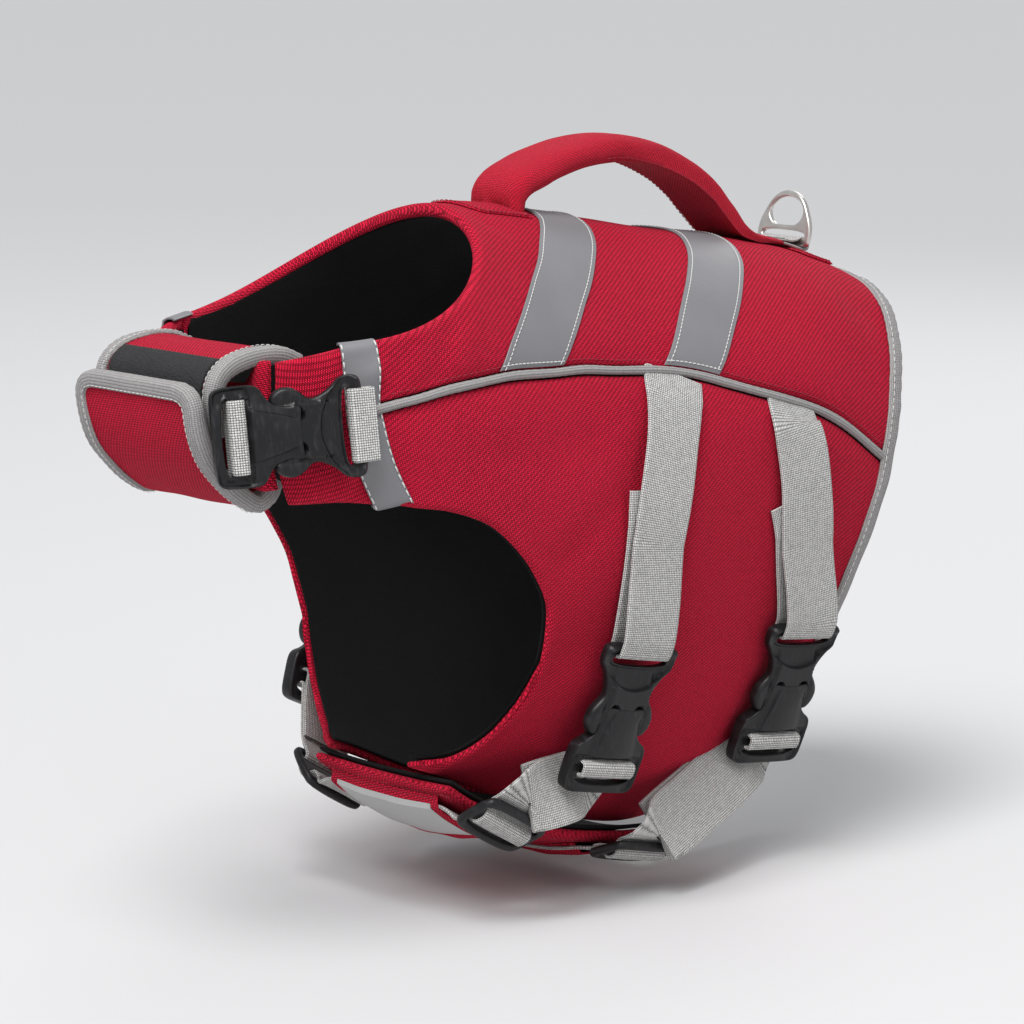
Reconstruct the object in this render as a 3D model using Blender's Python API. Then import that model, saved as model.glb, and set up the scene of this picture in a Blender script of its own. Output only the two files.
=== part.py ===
"""A small dog's life jacket, buckled up and holding its worn shape, hollow inside.

Millimetres in the tables, metres in the meshes. The head end is -Y, the dog's left is +X and
+Z is up. The origin is on the inside of the back, where the dog's back carries the jacket.

Every cloth panel lies on one body form, a row of tilted rings from the neck edge to the rear
edge. A place on it is (u, deg): u runs from 0 at the neck edge to 1 at the rear edge, and deg
from 0 on the ridge of the back to 180 under the middle of the belly. Out is the height above it.
"""

import math
from collections import namedtuple

import bmesh
import bpy
import numpy as np
from mathutils import Matrix, Vector

MM = 0.001
NAME = "dog_life_jacket"
SIDES = {"left": 1, "right": -1}

# Walls and clearances
GAP = 0.3
SHELL = 3.7
LINING = 1.0
LINING_GAP = 0.4
WALL = SHELL + LINING + LINING_GAP
SEAM = GAP / 2
LAID = 0.5

# Narrow goods
WEBBING_WIDTH = 25.0
WEBBING = 1.4
TAPE_WIDTH = 22.0
TAPE = 0.8
BAND_WIDTH = 13.0
PIPING_RADIUS = 1.6
BINDING = 1.1
BINDING_COVER = 6.0

# The body form, one row a ring, from the neck edge to the rear edge
Ring = namedtuple("Ring", "top_y top_z side_x side_y side_z bottom_y bottom_z fullness")
RINGS = [
    Ring(-120, 23.5, 57.5, -171.4, -10, -243.5, -14, 1.00),
    Ring(-90, 20, 64.5, -162.3, -44, -243.5, -72, 1.00),
    Ring(-45, 13, 72.2, -128, -79, -200, -144, 0.95),
    Ring(0, 5, 75.2, -73, -88, -125, -194, 0.90),
    Ring(50, -4, 72, -4, -86, -58, -220, 0.85),
    Ring(86.5, -16.8, 67.5, 53, -84, 6, -218, 1.00),
]
# The right half lies a little fuller at the leg hole and flatter at the neck
RIGHT_RINGS = [
    Ring(-120, 23.5, 56, -169.5, -10.1, -243.5, -14, 1.0),
    Ring(-90, 20, 64.3, -162.1, -43.9, -243.5, -72, 1.02),
    Ring(-45, 13, 73.5, -129.4, -79.3, -200, -144, 0.84),
    Ring(0, 5, 77, -75.2, -88.9, -125, -194, 0.78),
    Ring(50, -4, 71.8, -3.8, -85.9, -58, -220, 0.87),
    Ring(86.5, -16.8, 67.5, 53, -84, 6, -218, 1.00),
]

# Seam and edge lines on the form
Place = namedtuple("Place", "u deg")
NECK_BAND_DEG = 115.5
PIPING_START = 0.105
PIPING = [
    Place(PIPING_START, NECK_BAND_DEG),
    Place(0.113, 103),
    Place(0.140, 88.5),
    Place(0.205, 74.5),
    Place(0.290, 64.5),
    Place(0.365, 59),
    Place(0.485, 57),
    Place(0.610, 61),
    Place(0.760, 70.5),
    Place(0.875, 78.5),
    Place(1.0, 89),
]
ARM_LOW = 0.243
LOWER_EDGE = [
    Place(ARM_LOW, NECK_BAND_DEG),
    Place(0.259, 111.3),
    Place(0.293, 104),
    Place(0.345, 99.4),
    Place(0.411, 100.7),
    Place(0.473, 106.5),
    Place(0.506, 112.9),
    Place(0.538, 123.5),
    Place(0.549, 134),
    Place(0.550, 145),
    Place(0.547, 154),
    Place(0.540, 161),
    Place(0.529, 167),
]
HEM = [Place(0.529, 167), Place(0.57, 163), Place(0.66, 162), Place(0.78, 162.5), Place(0.90, 163), Place(1.0, 161)]
REAR_DIP = 0.018
REAR_DIP_DEG = 60.0
ARM_END_DEG = 140.0
ARM_EDGE = [Place(0.205, ARM_END_DEG), Place(0.217, 127), Place(ARM_LOW, NECK_BAND_DEG)]

# Reflective tapes across the back: where the front and the rear edge cross each degree, from the
# ridge down to the piping
Crossing = namedtuple("Crossing", "deg front rear")
BACK_TAPES = {
    "front": [Crossing(0, 0.260, 0.359), Crossing(12, 0.252, 0.357), Crossing(18, 0.240, 0.355),
              Crossing(27, 0.219, 0.346), Crossing(36, 0.204, 0.333), Crossing(46, 0.184, 0.321),
              Crossing(56, 0.174, 0.308), Crossing(66, 0.174, 0.301), Crossing(74, 0.190, 0.299)],
    "rear": [Crossing(0, 0.577, 0.670), Crossing(8, 0.571, 0.667), Crossing(16, 0.557, 0.661),
             Crossing(24, 0.542, 0.653), Crossing(32, 0.525, 0.639), Crossing(40, 0.509, 0.626),
             Crossing(48, 0.498, 0.613), Crossing(57, 0.491, 0.603)],
}

# Handle, one row a section from the neck end to the rear foot
Section = namedtuple("Section", "y z width thick")
HANDLE = [
    Section(-87.4, 22.6, 26.5, 7.6),
    Section(-85.0, 26.2, 27, 9.6),
    Section(-81.2, 28.8, 27, 10.8),
    Section(-75, 31.0, 27, 11.2),
    Section(-66, 34.2, 26.5, 11.0),
    Section(-50, 37.5, 25.5, 11.0),
    Section(-33, 38.2, 25, 10.8),
    Section(-14, 35.0, 25, 9.6),
    Section(2, 28.3, 25, 8.8),
    Section(14.5, 20.2, 25, 8.6),
    Section(23.5, 11.8, 25, 8.4),
    Section(30, 5.4, 25, 6.4),
    Section(37, 1.6, 25, 3.8),
    Section(44, -0.4, 25, 2.8),
    Section(52, -2.2, 25, 2.4),
]

# Belly panel, one row a station from front to rear, outer face
Station = namedtuple("Station", "y middle_z edge_z half_width")
BELLY = [
    Station(-146, -184.0, -183.4, 36.5),
    Station(-134, -195.6, -191.2, 37.5),
    Station(-118, -205.5, -199.0, 38),
    Station(-92, -215.5, -208.5, 38),
    Station(-64, -221.0, -214.5, 38),
    Station(-42, -223.5, -217.5, 37),
]
SLEEVE_LENGTH = 30.0
SLEEVE_HALF_WIDTH = 30.0
STRIPE_WIDTH = 27.0

# Collar wrap: the outer face of each flap in the plane X = 0, from the throat side to the free end
FLAP = 3.4
WRAP_NEAR = 31.6
WRAP_FAR = -31.0
WRAP_CORNER = 8.0
WRAP_BINDING_COVER = 4.2
Point = namedtuple("Point", "y z")
TOP_FLAP = [
    Point(-208, -21.4), Point(-216, -18.2), Point(-226, -17.4), Point(-237.5, -19.6),
    Point(-244.3, -24.4), Point(-246.4, -31.2), Point(-245.8, -38), Point(-244.6, -45),
]
OUTER_FLAP = [
    Point(-217.5, -63), Point(-221, -68.4), Point(-227.5, -71.2), Point(-235, -67.2),
    Point(-242.4, -61), Point(-249.6, -52.6), Point(-254.0, -41), Point(-255.6, -28.0),
]
THROAT_SINK = 16.5
THROAT_SINK_SIDE = 5.0

# Side-release buckle
BUCKLE_WIDTH = 34.0
BUCKLE_END = 28.5
END_BAR = 3.2
SLOT = 4.6
INNER_SLOT = 2.4
SLOT_WIDTH = 26.4
MALE_THICK = 4.0
FEMALE_THICK = 6.0
MALE_BAR = -BUCKLE_END + END_BAR / 2
FEMALE_BAR = BUCKLE_END - END_BAR - SLOT - END_BAR / 2
TONGUE_HALF_WIDTH = 3.6

# Tri-glide
GLIDE_WIDTH = 32.0
GLIDE_LENGTH = 20.0
GLIDE_THICK = 3.0
GLIDE_BAR = 4.0
GLIDE_SLOT = 5.0

# Where the hard pieces lie, on the left or mirrored: the middle of a buckle's webbing bars, of a
# tri-glide. The right front buckle hangs further out and forward than the left one.
Strap = namedtuple("Strap", "sewn_u sewn_deg over_u over_deg over_out male female glide glide_out glide_across")
FRONT_GLIDE = ((48, -130, -195.5), (0.60, -0.43, -0.68), (-0.03, -0.85, 0.51))
REAR_GLIDE = ((48, -63, -217.0), (0.36, -0.22, -0.90), (-0.06, -0.96, 0.24))
STRAPS = {
    "front_left": Strap(
        0.512, 60.8, 0.585, 95, 4.6, (75.0, -86.8, -133.6), (62.4, -94.8, -178.0), *FRONT_GLIDE),
    "front_right": Strap(
        0.512, 60.8, 0.560, 88, 4.6, (78.2, -94.5, -124.5), (70.5, -113.5, -165.5), *FRONT_GLIDE),
    "rear_left": Strap(0.742, 72.3, 0.842, 101, 5.6, (70.0, 4.0, -139.5), (55.0, 0.0, -184.0), *REAR_GLIDE),
    "rear_right": Strap(0.742, 72.3, 0.842, 101, 5.6, (70.0, 4.0, -139.5), (55.0, 0.0, -184.0), *REAR_GLIDE),
}
NECK_BUCKLE_SHORT = 0.9
NECK_BUCKLE_MALE = (60.1, -206.6, -41.3)
NECK_BUCKLE_END = (36.7, -249.4, -44.5)

# D-ring plate
RING_BASE_WIDTH = 27.0
RING_HEIGHT = 20.0
RING_TOP_RADIUS = 10.6
RING_HOLE_RADIUS = 8.0
RING_HOLE_SQUEEZE = 0.76
RING_THICK = 2.4
RING_SLOT = 3.2
RING_Y = 63.5
RING_LEAN = 12.0

COLOURS = {
    "red_cloth": (0.55, 0.012, 0.03, 0.9, 0.0),
    "black_lining": (0.01, 0.01, 0.011, 0.95, 0.0),
    "reflective_tape": (0.32, 0.32, 0.34, 0.5, 0.0),
    "silver_tape": (0.6, 0.6, 0.6, 0.45, 0.0),
    "grey_binding": (0.42, 0.42, 0.43, 0.8, 0.0),
    "grey_webbing": (0.55, 0.55, 0.54, 0.85, 0.0),
    "black_plastic": (0.012, 0.012, 0.013, 0.42, 0.0),
    "steel": (0.62, 0.6, 0.58, 0.25, 1.0),
}


# ---- scene -------------------------------------------------------------------------------


def clear_scene():
    for old in list(bpy.data.objects):
        bpy.data.objects.remove(old, do_unlink=True)


def new_collection(name):
    collection = bpy.data.collections.new(name)
    bpy.context.scene.collection.children.link(collection)
    return collection


def material(slot):
    found = bpy.data.materials.get(slot)
    if found:
        return found
    made = bpy.data.materials.new(slot)
    made.use_nodes = True
    shader = made.node_tree.nodes["Principled BSDF"]
    red, green, blue, roughness, metallic = COLOURS[slot]
    shader.inputs["Base Color"].default_value = (red, green, blue, 1)
    shader.inputs["Roughness"].default_value = roughness
    shader.inputs["Metallic"].default_value = metallic
    return made


def add_mesh(name, points, faces, slot):
    """One closed mesh object, its faces turned outward."""
    mesh = bpy.data.meshes.new(name)
    mesh.from_pydata([tuple(point * MM) for point in points], [], faces)
    shape = bmesh.new()
    shape.from_mesh(mesh)
    bmesh.ops.recalc_face_normals(shape, faces=shape.faces)
    shape.to_mesh(mesh)
    shape.free()
    return add_object(name, mesh, slot)


def add_object(name, mesh, slot):
    mesh.shade_smooth()
    mesh.set_sharp_from_angle(angle=math.radians(40))
    if not mesh.materials:
        mesh.materials.append(material(slot))
    made = bpy.data.objects.new(name, mesh)
    PARTS.objects.link(made)
    return made


# ---- curves and the body form --------------------------------------------------------------


def smooth(rows, at):
    """Rows of numbers read as a smooth curve through them, at fractions of its rows from 0 to 1."""
    rows = np.asarray(rows, float)
    last = len(rows) - 1
    place = np.clip(np.asarray(at, float), 0, 1) * last
    cell = np.minimum(place.astype(int), last - 1)
    t = (place - cell)[..., None]
    ends = np.concatenate([[2 * rows[0] - rows[1]], rows, [2 * rows[-1] - rows[-2]]])
    a, b, c, d = ends[cell], ends[cell + 1], ends[cell + 2], ends[cell + 3]
    return 0.5 * (2 * b + (c - a) * t + (2 * a - 5 * b + 4 * c - d) * t**2 + (3 * b - a - 3 * c + d) * t**3)


def eased(rows, count, measure=lambda rows: rows):
    """Count points at even steps along the smooth curve through the rows."""
    fine = smooth(rows, np.linspace(0, 1, 40 * len(rows)))
    steps = np.linalg.norm(np.diff(measure(fine), axis=0), axis=1)
    along = np.concatenate([[0], np.cumsum(steps)])
    wanted = np.linspace(0, along[-1], count)
    return np.stack([np.interp(wanted, along, column) for column in fine.T], 1)


def places(rows, count):
    """Count places at even steps over the body along the smooth line through the rows."""
    return eased(rows, count, lambda line: on_form(line[:, 0], line[:, 1]))


def ease_between(start, end, start_slope, end_slope, t):
    return (
        (2 * t**3 - 3 * t**2 + 1) * start
        + (t**3 - 2 * t**2 + t) * start_slope
        + (3 * t**2 - 2 * t**3) * end
        + (t**3 - t**2) * end_slope
    )


def on_form(u, deg):
    u, deg = np.broadcast_arrays(np.asarray(u, float), np.asarray(deg, float))
    deg = (deg + 180) % 360 - 180
    values = np.where(deg[..., None] < 0, smooth(RIGHT_RINGS, u), smooth(RINGS, u))
    ring = Ring(*np.moveaxis(values, -1, 0))
    angle = np.radians(np.abs(deg))
    quarter = math.pi / 2
    x = np.sign(deg) * ring.side_x * np.maximum(np.sin(angle), 0) ** ring.fullness
    slope_y = (ring.bottom_y - ring.top_y) / 2 * quarter
    slope_z = (ring.bottom_z - ring.top_z) / 2 * quarter
    upper, lower = angle / quarter, (angle - quarter) / quarter
    y = np.where(
        angle <= quarter,
        ease_between(ring.top_y, ring.side_y, 0, slope_y, upper),
        ease_between(ring.side_y, ring.bottom_y, slope_y, 0, lower),
    )
    z = np.where(
        angle <= quarter,
        ease_between(ring.top_z, ring.side_z, 0, slope_z, upper),
        ease_between(ring.side_z, ring.bottom_z, slope_z, 0, lower),
    )
    return np.stack([x, y, z], -1)


def unit(vectors):
    return vectors / np.linalg.norm(vectors, axis=-1, keepdims=True)


def form_normal(u, deg):
    along = on_form(np.add(u, 0.004), deg) - on_form(np.subtract(u, 0.004), deg)
    round_it = on_form(u, np.add(deg, 0.6)) - on_form(u, np.subtract(deg, 0.6))
    return unit(np.cross(round_it, along))


def body(u, deg, out=0.0):
    """The point that lies out above the body form at (u, deg)."""
    return on_form(u, deg) + form_normal(u, deg) * np.asarray(out, float)[..., None]


def degrees_per_mm(u, deg):
    step = np.linalg.norm(on_form(u, np.add(deg, 0.5)) - on_form(u, np.subtract(deg, 0.5)), axis=-1)
    return 1 / step


# ---- ways of making a solid ------------------------------------------------------------------


def wall(name, outer, inner, slot):
    """A closed sheet between two grids of points of the same size."""
    rows, columns = outer.shape[:2]
    points = np.concatenate([outer.reshape(-1, 3), inner.reshape(-1, 3)])
    top = np.arange(rows * columns).reshape(rows, columns)
    under = top + rows * columns
    faces = []
    for row in range(rows - 1):
        for column in range(columns - 1):
            faces.append([top[row, column], top[row, column + 1], top[row + 1, column + 1], top[row + 1, column]])
            faces.append([under[row, column], under[row + 1, column], under[row + 1, column + 1], under[row, column + 1]])
    rim = [(0, column) for column in range(columns)] + [(row, columns - 1) for row in range(1, rows)]
    rim += [(rows - 1, column) for column in range(columns - 2, -1, -1)] + [(row, 0) for row in range(rows - 2, 0, -1)]
    for here, there in zip(rim, rim[1:] + rim[:1]):
        faces.append([top[here], under[here], under[there], top[there]])
    return add_mesh(name, points, [[int(index) for index in face] for face in faces], slot)


def loft(name, rings, slot, arched=False):
    """A closed solid through rings of points, capped at both ends. An arched cap runs in strips
    from each point to the one across from it, so that it can bend over a ridge."""
    rings = np.asarray(rings)
    count, size = rings.shape[:2]
    faces = []
    for ring in range(count - 1):
        for point in range(size):
            following = (point + 1) % size
            start, end = ring * size, (ring + 1) * size
            faces.append([start + point, start + following, end + following, end + point])
    cap = [list(range(size))]
    if arched:
        half = size // 2
        strips = [[point, point + 1, size - point - 1, size - point] for point in range(1, half - 1)]
        cap = [[0, 1, size - 1]] + strips + [[half - 1, half, half + 1]]
    for start in (0, (count - 1) * size):
        faces += [[start + point for point in face] for face in cap]
    return add_mesh(name, rings.reshape(-1, 3), faces, slot)


def square_to(across, legs):
    """Unit directions of the legs seen square to the directions across."""
    return unit(legs - across * np.sum(legs * across, axis=1, keepdims=True))


def ribbon(name, route, width, thick, slot, start=None):
    """Webbing along a route of (point, across) pairs, mitred where it folds over. Its first end is
    cut along the direction start, if there is one."""
    points, across = subdivided(route)
    across = unit(across)
    legs = np.diff(points, axis=0)
    before = square_to(across, np.concatenate([legs[:1], legs]))
    after = square_to(across, np.concatenate([legs, legs[-1:]]))
    ahead = unit(before + after)
    mitre = np.sum(ahead * after, axis=1, keepdims=True)
    up = np.cross(ahead, across) / np.maximum(mitre, 0.7)
    if start is not None:
        across[0] = start / np.dot(start, across[0])
    corners = [(-1, -1), (1, -1), (1, 1), (-1, 1)]
    rings = np.stack([points + across * a * width / 2 + up * b * thick / 2 for a, b in corners], 1)
    return loft(name, rings, slot)


def subdivided(route, longest=14.0):
    """The route's points and directions, with more of them along any long leg."""
    points, across = [], []
    for (here, side), (there, other) in zip(route, route[1:]):
        here, there = np.array(here, float), np.array(there, float)
        count = max(1, math.ceil(np.linalg.norm(there - here) / longest))
        for step in range(count):
            share = step / count
            points.append(here * (1 - share) + there * share)
            across.append(np.array(side, float) * (1 - share) + np.array(other, float) * share)
    points.append(np.array(route[-1][0], float))
    across.append(np.array(route[-1][1], float))
    return np.array(points), np.array(across)


def tube(name, points, radius, slot):
    curve = bpy.data.curves.new(name, "CURVE")
    curve.dimensions = "3D"
    curve.bevel_depth = radius * MM
    curve.bevel_resolution = 1
    curve.use_fill_caps = True
    spline = curve.splines.new("POLY")
    spline.points.add(len(points) - 1)
    for place, point in zip(spline.points, points):
        place.co = (*(point * MM), 1)
    curve.materials.append(material(slot))
    made = bpy.data.objects.new(name, curve)
    PARTS.objects.link(made)
    return made


def plate_mesh(name, outlines, thick, edge, slot):
    """A flat plate: an outline and its holes, extruded, its edges rounded."""
    curve = bpy.data.curves.new(name, "CURVE")
    curve.dimensions = "2D"
    curve.fill_mode = "BOTH"
    curve.extrude = (thick / 2 - edge) * MM
    curve.bevel_depth = edge * MM
    curve.bevel_resolution = 0
    curve.offset = -edge * MM
    for outline in outlines:
        spline = curve.splines.new("POLY")
        spline.use_cyclic_u = True
        spline.points.add(len(outline) - 1)
        for place, (x, y) in zip(spline.points, outline):
            place.co = (x * MM, y * MM, 0, 1)
    guide = bpy.data.objects.new(name, curve)
    PARTS.objects.link(guide)
    graph = bpy.context.evaluated_depsgraph_get()
    mesh = bpy.data.meshes.new_from_object(guide.evaluated_get(graph))
    bpy.data.objects.remove(guide, do_unlink=True)
    shape = bmesh.new()
    shape.from_mesh(mesh)
    bmesh.ops.remove_doubles(shape, verts=shape.verts, dist=0.00002)
    bmesh.ops.recalc_face_normals(shape, faces=shape.faces)
    shape.to_mesh(mesh)
    shape.free()
    mesh.name = name
    mesh.materials.clear()
    mesh.materials.append(material(slot))
    return mesh


def both_sides(half):
    """A closed outline from its right half, given from the top of the middle line to its foot."""
    mirrored = [(-x, y) for x, y in reversed(half) if x > 0.01]
    return half + mirrored


def rounded_box(half_width, low, high, radius, steps=2):
    """The outline of a box about x = 0 with rounded corners."""
    outline = []
    centres = [
        (half_width - radius, high - radius, 0), (radius - half_width, high - radius, 90),
        (radius - half_width, low + radius, 180), (half_width - radius, low + radius, 270),
    ]
    for x, y, start in centres:
        for step in range(steps + 1):
            angle = math.radians(start + 90 * step / steps)
            outline.append((x + radius * math.cos(angle), y + radius * math.sin(angle)))
    return outline


def edge_binding(name, edge, inward, normals, thick, cover, slot):
    """Tape folded round the edge of a sheet that is thick deep below the edge line."""
    depth = thick + GAP
    section = [
        (cover, GAP + 0.15), (cover, GAP + BINDING), (-0.7, GAP + BINDING), (-GAP - BINDING, 0.2),
        (-GAP - BINDING, -thick - 0.2), (-0.7, -depth - BINDING), (cover, -depth - BINDING),
        (cover, -depth - 0.15), (-GAP, -depth), (-GAP, GAP),
    ]
    rings = np.stack([edge + inward * a + normals * b for a, b in section], 1)
    return loft(name, rings, slot)


# ---- cloth panels ------------------------------------------------------------------------------


def patch(front, rear, top, bottom):
    """Places over a four-sided panel from its four edge lines, rows along it, columns down it."""
    rows, columns = len(top), len(front)
    s = np.linspace(0, 1, rows)[:, None, None]
    t = np.linspace(0, 1, columns)[None, :, None]
    corners = (1 - s) * (1 - t) * front[0] + (1 - s) * t * front[-1] + s * (1 - t) * rear[0] + s * t * rear[-1]
    return (1 - s) * front + s * rear + (1 - t) * top[:, None] + t * bottom[:, None] - corners


def shifted(line, mm):
    """A line of places moved sideways over the body by this many millimetres, downward if positive."""
    u, deg = line[:, 0], line[:, 1]
    along_u = (on_form(u + 0.004, deg) - on_form(u - 0.004, deg)) / 0.008
    along_deg = on_form(u, deg + 0.5) - on_form(u, deg - 0.5)
    sideways = unit(np.cross(np.gradient(on_form(u, deg), axis=0), form_normal(u, deg)))
    moved = np.array(line, float)
    for row, (a, b, step) in enumerate(zip(along_u, along_deg, sideways * mm)):
        moved[row] += np.linalg.lstsq(np.stack([a, b], 1), step, rcond=None)[0]
    return moved


def line_between(start, end, count):
    return np.linspace(start, end, count)


LEG_ROWS = 12
HEM_ROWS = 5
BODY_ROWS = LEG_ROWS + HEM_ROWS
BACK_COLUMNS = 9
SIDE_COLUMNS = 7
SEAM_CLEAR = PIPING_RADIUS + GAP


def band_line(u, mm):
    """Degrees of the line under the neck band, moved down round the body by this much."""
    return NECK_BAND_DEG + mm * degrees_per_mm(u, np.full_like(u, NECK_BAND_DEG))


def rear_u(deg):
    """The rear edge's u: it is cut in a little between the ridge and the piping's end."""
    reach = np.clip(1 - ((np.abs(deg) - REAR_DIP_DEG) / 34) ** 2, 0, 1)
    return 1 - REAR_DIP * reach**1.5


def rear_line(start_deg, end, count):
    deg = np.linspace(start_deg, end[1], count)
    return np.stack([rear_u(deg), deg], 1)


def back_places(seam):
    """Half of the back panel. Its front runs along the neck edge and then down the neck band."""
    piping = shifted(places(PIPING, BODY_ROWS), -seam)
    start = np.array([PIPING_START - seam * 0.0035])
    piping[0] = (start[0], band_line(start, -SEAM)[0])
    corner = band_line(np.zeros(1), -SEAM)[0]
    neck_edge = line_between((0, 0), (0, corner), BACK_COLUMNS - 1)
    front = np.concatenate([neck_edge, piping[:1]])
    rear = rear_line(0, piping[-1], BACK_COLUMNS)
    piping[-1, 0] = rear[-1, 0]
    ridge = line_between((0, 0), (1, 0), BODY_ROWS)
    return patch(front, rear, ridge, piping)


def side_places(seam):
    """A side panel, from the piping down to the leg hole and the hem."""
    piping = shifted(places(PIPING, BODY_ROWS), seam)
    start = PIPING_START + seam * 0.0035
    front_u = np.linspace(start, ARM_LOW, SIDE_COLUMNS)
    front = np.stack([front_u, band_line(front_u, -SEAM)], 1)
    piping[0] = front[0]
    leg = places(LOWER_EDGE, LEG_ROWS)
    leg[0] = front[-1]
    lower = np.concatenate([leg, places(HEM, HEM_ROWS + 1)[1:]])
    rear = rear_line(piping[-1, 1], lower[-1], SIDE_COLUMNS)
    piping[-1, 0] = rear[0, 0]
    return patch(front, rear, piping, lower)


def arm_places():
    """The neck arm, from the neck band forward to its end by the throat."""
    low = places(ARM_EDGE[::-1], 5)
    neck_edge = np.stack([np.linspace(0, 0.02, 5), low[:, 1]], 1)
    seam_u = np.concatenate([[0], np.linspace(PIPING_START, ARM_LOW, SIDE_COLUMNS)])
    front = np.stack([seam_u, band_line(seam_u, SEAM)], 1)
    share = (seam_u / ARM_LOW)[:, None]
    neck_edge[0], low[0] = front[0], front[-1]
    return patch(front, neck_edge[-1] * (1 - share) + low[-1] * share, neck_edge, low)


def sheet(name, grid, outer, inner, slot, side=1):
    u, deg = grid[..., 0], grid[..., 1] * side
    return wall(name, body(u, deg, outer), body(u, deg, inner), slot)


def shell_and_lining(name, outer_grid, lining_grid, side=1):
    """A padded outer panel and the lining behind it."""
    sheet(name, outer_grid, 0.0, -SHELL, "red_cloth", side)
    sheet(name + "_lining", lining_grid, -SHELL - LINING_GAP, -WALL, "black_lining", side)


def whole_back(half):
    """Both halves of the back, joined at the ridge."""
    other = half[:, :0:-1].copy()
    other[..., 1] *= -1
    return np.concatenate([other, half], axis=1)


def build_panels():
    shell_and_lining("back_panel", whole_back(back_places(SEAM_CLEAR)), whole_back(back_places(SEAM)))
    for name, side in SIDES.items():
        shell_and_lining("side_panel_" + name, side_places(SEAM_CLEAR), side_places(SEAM), side)
        shell_and_lining("neck_arm_" + name, arm_places(), arm_places(), side)


def build_piping():
    """Piping in the seam between the back and each side, from the neck band to the rear binding."""
    line = places(PIPING, BODY_ROWS)
    for name, side in SIDES.items():
        points = body(line[:, 0], line[:, 1] * side, -0.4)
        points[0] = points[0] + (points[1] - points[0]) * 0.55
        points[-1] = points[-1] + unit(points[-2] - points[-1]) * (BINDING_COVER + 1.2)
        tube("piping_" + name, points, PIPING_RADIUS, "grey_binding")


def build_neck_bands():
    """A reflective band over the seam between each arm and the panels behind it."""
    t = np.linspace(0, 1, 9)[:, None]
    start, end = np.full(4, 0.004), np.array([0.2515, 0.246, 0.2395, 0.2325])
    u = start + (end - start) * t
    deg = NECK_BAND_DEG + np.linspace(-0.5, 0.5, 4) * BAND_WIDTH * degrees_per_mm(u, np.full_like(u, NECK_BAND_DEG))
    for name, side in SIDES.items():
        outer, inner = body(u, deg * side, LAID + TAPE), body(u, deg * side, LAID)
        wall("neck_band_" + name, outer, inner, "reflective_tape")


def build_back_tapes():
    """Reflective tapes over the back, each end stopping at the piping."""
    for name, rows in BACK_TAPES.items():
        front = places([(row.front, row.deg) for row in rows], 9)
        rear = places([(row.rear, row.deg) for row in rows], 9)
        across = np.linspace(0, 1, 4)[None, :, None]
        half = front[:, None] * (1 - across) + rear[:, None] * across
        seam = shifted(places(PIPING, 60), -SEAM_CLEAR - 1.2)
        end = np.interp(half[-1, :, 0], seam[:, 0], seam[:, 1])
        half[..., 1] *= end / half[-1, :, 1]
        grid = np.concatenate([half[:0:-1] * (1, -1), half])
        sheet("back_tape_" + name, grid, LAID + TAPE, LAID, "reflective_tape")


def build_rear_binding():
    """One tape round the whole rear edge, over the back from one lower corner to the other."""
    back = back_places(SEAM_CLEAR)[-1, :, 1]
    side = side_places(SEAM_CLEAR)[-1, :, 1]
    half = np.concatenate([back, side])
    deg = np.concatenate([-half[:0:-1], half])
    u = rear_u(deg)
    edge, normals = body(u, deg), form_normal(u, deg)
    inward = unit(body(u - 0.03, deg) - edge)
    inward = unit(inward - normals * np.sum(inward * normals, axis=1, keepdims=True))
    edge_binding("rear_binding", edge, inward, normals, WALL, BINDING_COVER, "grey_binding")


# ---- collar wrap ---------------------------------------------------------------------------------


def flap_line(rows, count):
    """Points down a flap's outer face in the plane X = 0, with its outward normals."""
    line = eased(rows, count)
    ahead = unit(np.gradient(line, axis=0))
    normals = np.stack([ahead[:, 1], -ahead[:, 0]], 1)
    if np.sum(normals * (line - line.mean(axis=0))) < 0:
        normals = -normals
    return np.insert(line, 0, 0, axis=1), np.insert(normals, 0, 0, axis=1)


def flap_sides(line, rounded):
    """X of the flap's two sides down its length, drawn in round the corners of its free end."""
    length = np.concatenate([[0], np.cumsum(np.linalg.norm(np.diff(line, axis=0), axis=1))])
    corner = np.clip((WRAP_CORNER - length[-1] + length) / WRAP_CORNER, 0, 1)
    drawn_in = WRAP_CORNER * (1 - np.sqrt(1 - corner**2)) * rounded
    return WRAP_NEAR - drawn_in, WRAP_FAR + drawn_in


def flap_sheet(name, line, normals, near, far, outer, inner, slot, columns=4):
    across = np.linspace(0, 1, columns)[None, :, None]
    x = (near[:, None, None] * (1 - across) + far[:, None, None] * across) * (1, 0, 0)
    face = line[:, None] + x
    return wall(name, face + normals[:, None] * outer, face + normals[:, None] * inner, slot)


def build_top_flap():
    line, normals = flap_line(TOP_FLAP, 12)
    near, far = flap_sides(line, False)
    flap_sheet("wrap_top_flap", line, normals, near, far, 0, -FLAP, "red_cloth")
    for name, x, inward in (("near", near, (-1, 0, 0)), ("far", far, (1, 0, 0))):
        edge = line + x[:, None] * (1, 0, 0)
        inward = np.tile(inward, (len(edge), 1))
        edge_binding("wrap_top_binding_" + name, edge, inward, normals, FLAP, WRAP_BINDING_COVER, "grey_binding")
    strip = slice(6, 12)
    reach = WRAP_BINDING_COVER + 1.2
    flap_sheet("loop_strip", line[strip], normals[strip], near[strip] - reach, far[strip] + reach, LAID + 0.8, LAID,
               "black_lining", 3)


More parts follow.
